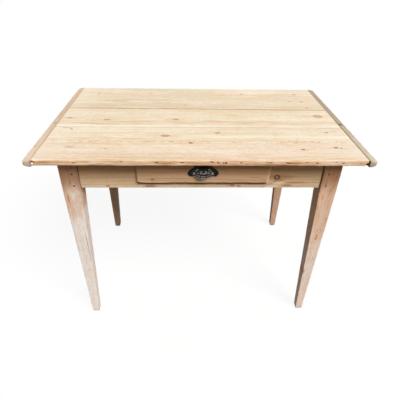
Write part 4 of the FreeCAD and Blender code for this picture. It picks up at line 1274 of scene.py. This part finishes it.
# Rows from the middle of the open edge over the dome and the plate, and back behind them and inside
rise = np.linspace(0.02, math.pi / 2, DOME_STEPS)
share = np.linspace(0.06, 1.0, PLATE_STEPS)
rows = []
raised = []
for turn in np.linspace(0.0, math.pi, AROUND_STEPS + 1):
    ray = np.array((math.cos(turn), max(math.sin(turn), 0.0)))
    edge = ray * plate_edge(turn)
    foot = ray * DOME_OUTSIDE
    x, z = foot[:, None] * np.sin(rise)
    y = PULL_PLATE + DOME_RISE * dome_swell(x, z, *DOME_OUTSIDE)
    pattern = pull_pattern(x, z)
    band = inside_unit((BAND_HEIGHT - z) / 0.8)
    lift = np.maximum(pattern * PATTERN_RISE, band * BAND_RISE) * inside_unit((math.pi / 2 - rise) / 0.12)
    dome = np.stack([x, y, z], axis=-1) + dome_outward(x, z) * (lift - DOME_SUNK)[:, None]
    dome[:, 2] = np.maximum(dome[:, 2], 0.0) if ray[1] > 1e-6 else 0.0
    flat = foot[:, None] + (edge - foot)[:, None] * share
    rim = bell(share - 0.80, 0.14) * RIM_RISE
    ear_pattern = pull_pattern(*flat) * inside_unit((0.62 - share) / 0.1)
    rounded = RIM_DROP * inside_unit((share - 0.88) / 0.12) ** 2
    front = PULL_PLATE - PLATE_SUNK + rim + ear_pattern - rounded
    plate = np.stack([flat[0], front, flat[1]], axis=-1)
    hole = ray * DOME_INSIDE
    flat = hole[:, None] + (edge - hole)[:, None] * share[::-1]
    back = np.stack([flat[0], np.zeros(PLATE_STEPS), flat[1]], axis=-1)
    x, z = hole[:, None] * np.sin(rise[::-1])
    y = (PULL_PLATE + DOME_RISE - DOME_WALL) * dome_swell(x, z, *DOME_INSIDE)
    hollow = np.stack([x, y, z], axis=-1)
    rows.append(np.concatenate([dome, plate, back, hollow]))
    high = [np.maximum(pattern, band * 0.8), np.maximum(rim * 0.25, ear_pattern * 0.8)]
    raised.append(np.concatenate([*high, np.zeros(PLATE_STEPS + DOME_STEPS)]))
rows = np.array(rows)
loop = rows.shape[1]
apex = np.array([rows[:, 0].mean(axis=0), rows[:, -1].mean(axis=0)])
apex[:, 2] = 0.0
points = np.concatenate([rows.reshape(-1, 3), apex])
outer_apex, inner_apex = len(points) - 2, len(points) - 1
faces = []
for i in range(AROUND_STEPS):
    for j in range(loop - 1):
        faces.append((i * loop + j, i * loop + j + 1, (i + 1) * loop + j + 1, (i + 1) * loop + j))
    faces.append((outer_apex, i * loop, (i + 1) * loop))
    faces.append((inner_apex, (i + 1) * loop + loop - 1, i * loop + loop - 1))
for first in (0, AROUND_STEPS * loop):
    for j in range(loop // 2 - 1):
        faces.append((first + j, first + j + 1, first + loop - 2 - j, first + loop - 1 - j))
    faces.append((outer_apex, first, first + loop - 1, inner_apex))
pull_mesh = bpy.data.meshes.new("cup_pull_cast")
pull_mesh.from_pydata(((PULL_CENTRE + points * (1.0, -1.0, 1.0)) / 1000.0).tolist(), [], faces)
heights = np.concatenate([np.array(raised).reshape(-1), [1.0, 0.0]]).astype(np.float32)
pull_mesh.attributes.new("raised", "FLOAT", "POINT").data.foreach_set("value", heights)
shape = bmesh.new()
shape.from_mesh(pull_mesh)
bmesh.ops.remove_doubles(shape, verts=shape.verts, dist=1e-6)
bmesh.ops.recalc_face_normals(shape, faces=shape.faces)
shape.to_mesh(pull_mesh)
shape.free()
pull_mesh.shade_smooth()


def iron_material():
    material, tree, shader, place = new_material("blackened_iron")
    patchy = clouds(place, 300.0, 4.0, 0.65)
    rubbed = plus(stored(tree, "raised"), times(minus(patchy, 0.5), 0.9))
    rubbed = ramped(rubbed, 0.58, 1.02)
    rust = ramped(clouds(place, 120.0, 3.0, 0.6), 0.6, 0.8, 0.0, 0.35)
    colour = blended(rust, blended(rubbed, tone(20, 16, 15), tone(206, 197, 190)), tone(82, 54, 40))
    shader.inputs["Specular IOR Level"].default_value = 0.2
    feed(
        shader, clouds(place, 1400.0, 3.0, 0.6), 0.35, 0.0003,
        Base_Color=colour,
        Metallic=ramped(rubbed, 0.0, 1.0, 0.25, 0.95),
        Roughness=ramped(rubbed, 0.0, 1.0, 0.62, 0.36),
    )
    return material


blackened_iron = iron_material()
dress(put("cup_pull_cast", pull_mesh), blackened_iron, "drawer", "dark_iron", "cup_pull")

# Round-headed screws at points: a flattened head with a slot cut across it, turned at random, and its shank
SCREW_SIZES = {"Head": 0.0036, "Rise": 0.0018, "Shank": 0.0015, "Length": 0.016, "Slot": 0.0009}
SCREW_APART = 44.5
SCREW_Z = 705.0
SCREW_SUNK = 0.7
screws_at_points, given, gives = new_group(
    "screws_at_points", "GeometryNodeTree",
    {"Geometry": "Geometry", **dict.fromkeys(SCREW_SIZES, "Float"), "Material": "Material"},
    {"Geometry": "Geometry"},
)
tree = screws_at_points
ball = step(tree, "GeometryNodeMeshUVSphere", {"Segments": 32, "Rings": 16, "Radius": given["Head"]})
squash = combined(1.0, 1.0, sums("DIVIDE", given["Rise"], given["Head"]))
head = step(tree, "GeometryNodeTransform", {"Geometry": ball, "Scale": squash})
blade = combined(times(given["Head"], 3.0), given["Slot"], given["Rise"])
cutter = step(tree, "GeometryNodeMeshCube", {"Size": blade})
above = combined(z=times(given["Rise"], 0.95))
cutter = step(tree, "GeometryNodeTransform", {"Geometry": cutter, "Translation": above})
slotted = step(tree, "GeometryNodeMeshBoolean", {"Mesh 1": head, "Mesh 2": cutter}, operation="DIFFERENCE")
shank_sizes = {"Vertices": 16, "Radius": given["Shank"], "Depth": given["Length"]}
shank = step(tree, "GeometryNodeMeshCylinder", shank_sizes)
under = combined(z=times(given["Length"], -0.52))
shank = step(tree, "GeometryNodeTransform", {"Geometry": shank, "Translation": under})
screw = tree.nodes.new("GeometryNodeJoinGeometry")
for piece in (slotted, shank):
    join(screw.inputs[0], piece)
plant(tree, given, gives, screw.outputs[0], 3, math.pi)

screw_y = (PULL_CENTRE[1] - PULL_PLATE + SCREW_SUNK) / 1000
screw_points = [((PULL_CENTRE[0] + side * SCREW_APART) / 1000, screw_y, SCREW_Z / 1000) for side in (-1, 1)]
screw_values = {**SCREW_SIZES, "Material": blackened_iron}
screw_axes = [(0.0, -1.0, 0.0)] * 2
screws = from_points("cup_pull_screws_slotted", screws_at_points, screw_points, screw_axes, screw_values)
dress(screws, blackened_iron, "drawer", "dark_iron", "cup_pull_screws")


# Floor and light. A plain white floor that shows only a faint soft shadow, and a white surround.
# A broad soft light from high on the right in front, weak low ones from behind and the left, an even fill.
FLOOR_HALF = 8.0
FLOOR_SHADOW = 0.09
FILL_STRENGTH = 0.20
WHITE = (1.0, 1.0, 1.0, 1.0)


def seen_plainly(tree):
    """1 where a ray comes from the camera, straight or by a mirror or glass."""
    ray = tree.nodes.new("ShaderNodeLightPath").outputs
    mirrored = sums("MAXIMUM", ray["Is Glossy Ray"], ray["Is Transmission Ray"])
    return sums("MAXIMUM", ray["Is Camera Ray"], mirrored)


def coloured(tree, kind, colour, strength=None):
    """A plain shader of one colour."""
    node = tree.nodes.new(kind)
    node.inputs["Color"].default_value = colour
    if strength is not None:
        node.inputs["Strength"].default_value = strength
    return node.outputs[0]


def mixed(tree, share, first, second):
    """Two shaders mixed by a share."""
    node = tree.nodes.new("ShaderNodeMixShader")
    for socket, value in zip(node.inputs, (share, first, second)):
        join(socket, value)
    return node.outputs[0]


floor_mesh = bpy.data.meshes.new("floor")
floor_corners = [(x * FLOOR_HALF, y * FLOOR_HALF, 0) for x, y in ((-1, -1), (1, -1), (1, 1), (-1, 1))]
floor_mesh.from_pydata(floor_corners, [], [(0, 1, 2, 3)])
floor = put("floor", floor_mesh)
floor_white = bpy.data.materials.new("floor_white")
floor_white.use_nodes = True
tree = floor_white.node_tree
tree.nodes.clear()
paper = coloured(tree, "ShaderNodeEmission", WHITE)
shaded = coloured(tree, "ShaderNodeBsdfDiffuse", (0.95, 0.95, 0.95, 1.0))
bounce = coloured(tree, "ShaderNodeBsdfDiffuse", (0.20, 0.185, 0.16, 1.0))
floor_look = mixed(tree, seen_plainly(tree), bounce, mixed(tree, FLOOR_SHADOW, paper, shaded))
join(tree.nodes.new("ShaderNodeOutputMaterial").inputs["Surface"], floor_look)
floor_mesh.materials.append(floor_white)

world = bpy.data.worlds.new("white_room")
bpy.context.scene.world = world
world.use_nodes = True
tree = world.node_tree
tree.nodes.clear()
fill = coloured(tree, "ShaderNodeBackground", (1.0, 0.98, 0.95, 1.0), FILL_STRENGTH)
white = coloured(tree, "ShaderNodeBackground", WHITE, 1.0)
surround = mixed(tree, seen_plainly(tree), fill, white)
join(tree.nodes.new("ShaderNodeOutputWorld").inputs["Surface"], surround)

# Lamps: strength, width in degrees, colour and the direction that the light comes from
SUNS = {
    "key": (1.10, 30.0, (1.0, 0.985, 0.96), (0.42, -0.52, 0.744)),
    "back": (0.26, 60.0, (1.0, 0.99, 0.97), (0.10, 0.97, 0.16)),
    "left": (0.12, 60.0, (1.0, 0.99, 0.97), (-0.97, 0.15, 0.15)),
}
for name, (strength, softness, colour, direction) in SUNS.items():
    sun = bpy.data.lights.new(name, "SUN")
    sun.energy = strength * math.pi
    sun.angle = math.radians(softness)
    sun.color = colour
    put(name, sun).rotation_euler = Vector(direction).to_track_quat("Z", "Y").to_euler()


# Camera. Standing height in front of the table and a little left of its middle, looking down at it.
# Fitted to the corners of the top, the seams, the aprons and the legs in the photograph.
CAMERA_PLACE = (-0.0495, -1.3515, 1.3005)
CAMERA_YAW = math.radians(-2.4935)
CAMERA_PITCH = math.radians(34.3012)
CAMERA_ROLL = math.radians(1.2984)
FOCAL_SHARE = 361.038 / 400.0
SENSOR_WIDTH = 36.0
level_right = Vector((math.cos(CAMERA_YAW), math.sin(CAMERA_YAW), 0.0))
level_ahead = Vector((-math.sin(CAMERA_YAW), math.cos(CAMERA_YAW), 0.0))
ahead = level_ahead * math.cos(CAMERA_PITCH) - Vector((0.0, 0.0, math.sin(CAMERA_PITCH)))
upward = level_ahead * math.sin(CAMERA_PITCH) + Vector((0.0, 0.0, math.cos(CAMERA_PITCH)))
right = level_right * math.cos(CAMERA_ROLL) + upward * math.sin(CAMERA_ROLL)
top_side = upward * math.cos(CAMERA_ROLL) - level_right * math.sin(CAMERA_ROLL)
camera_data = bpy.data.cameras.new("camera")
camera_data.sensor_fit = "HORIZONTAL"
camera_data.sensor_width = SENSOR_WIDTH
camera_data.lens = SENSOR_WIDTH * FOCAL_SHARE
camera = put("camera", camera_data)
facing = Matrix((right, top_side, -ahead)).transposed().to_4x4()
camera.matrix_world = Matrix.Translation(CAMERA_PLACE) @ facing
bpy.context.scene.camera = camera
bpy.context.scene.view_settings.view_transform = "Standard"
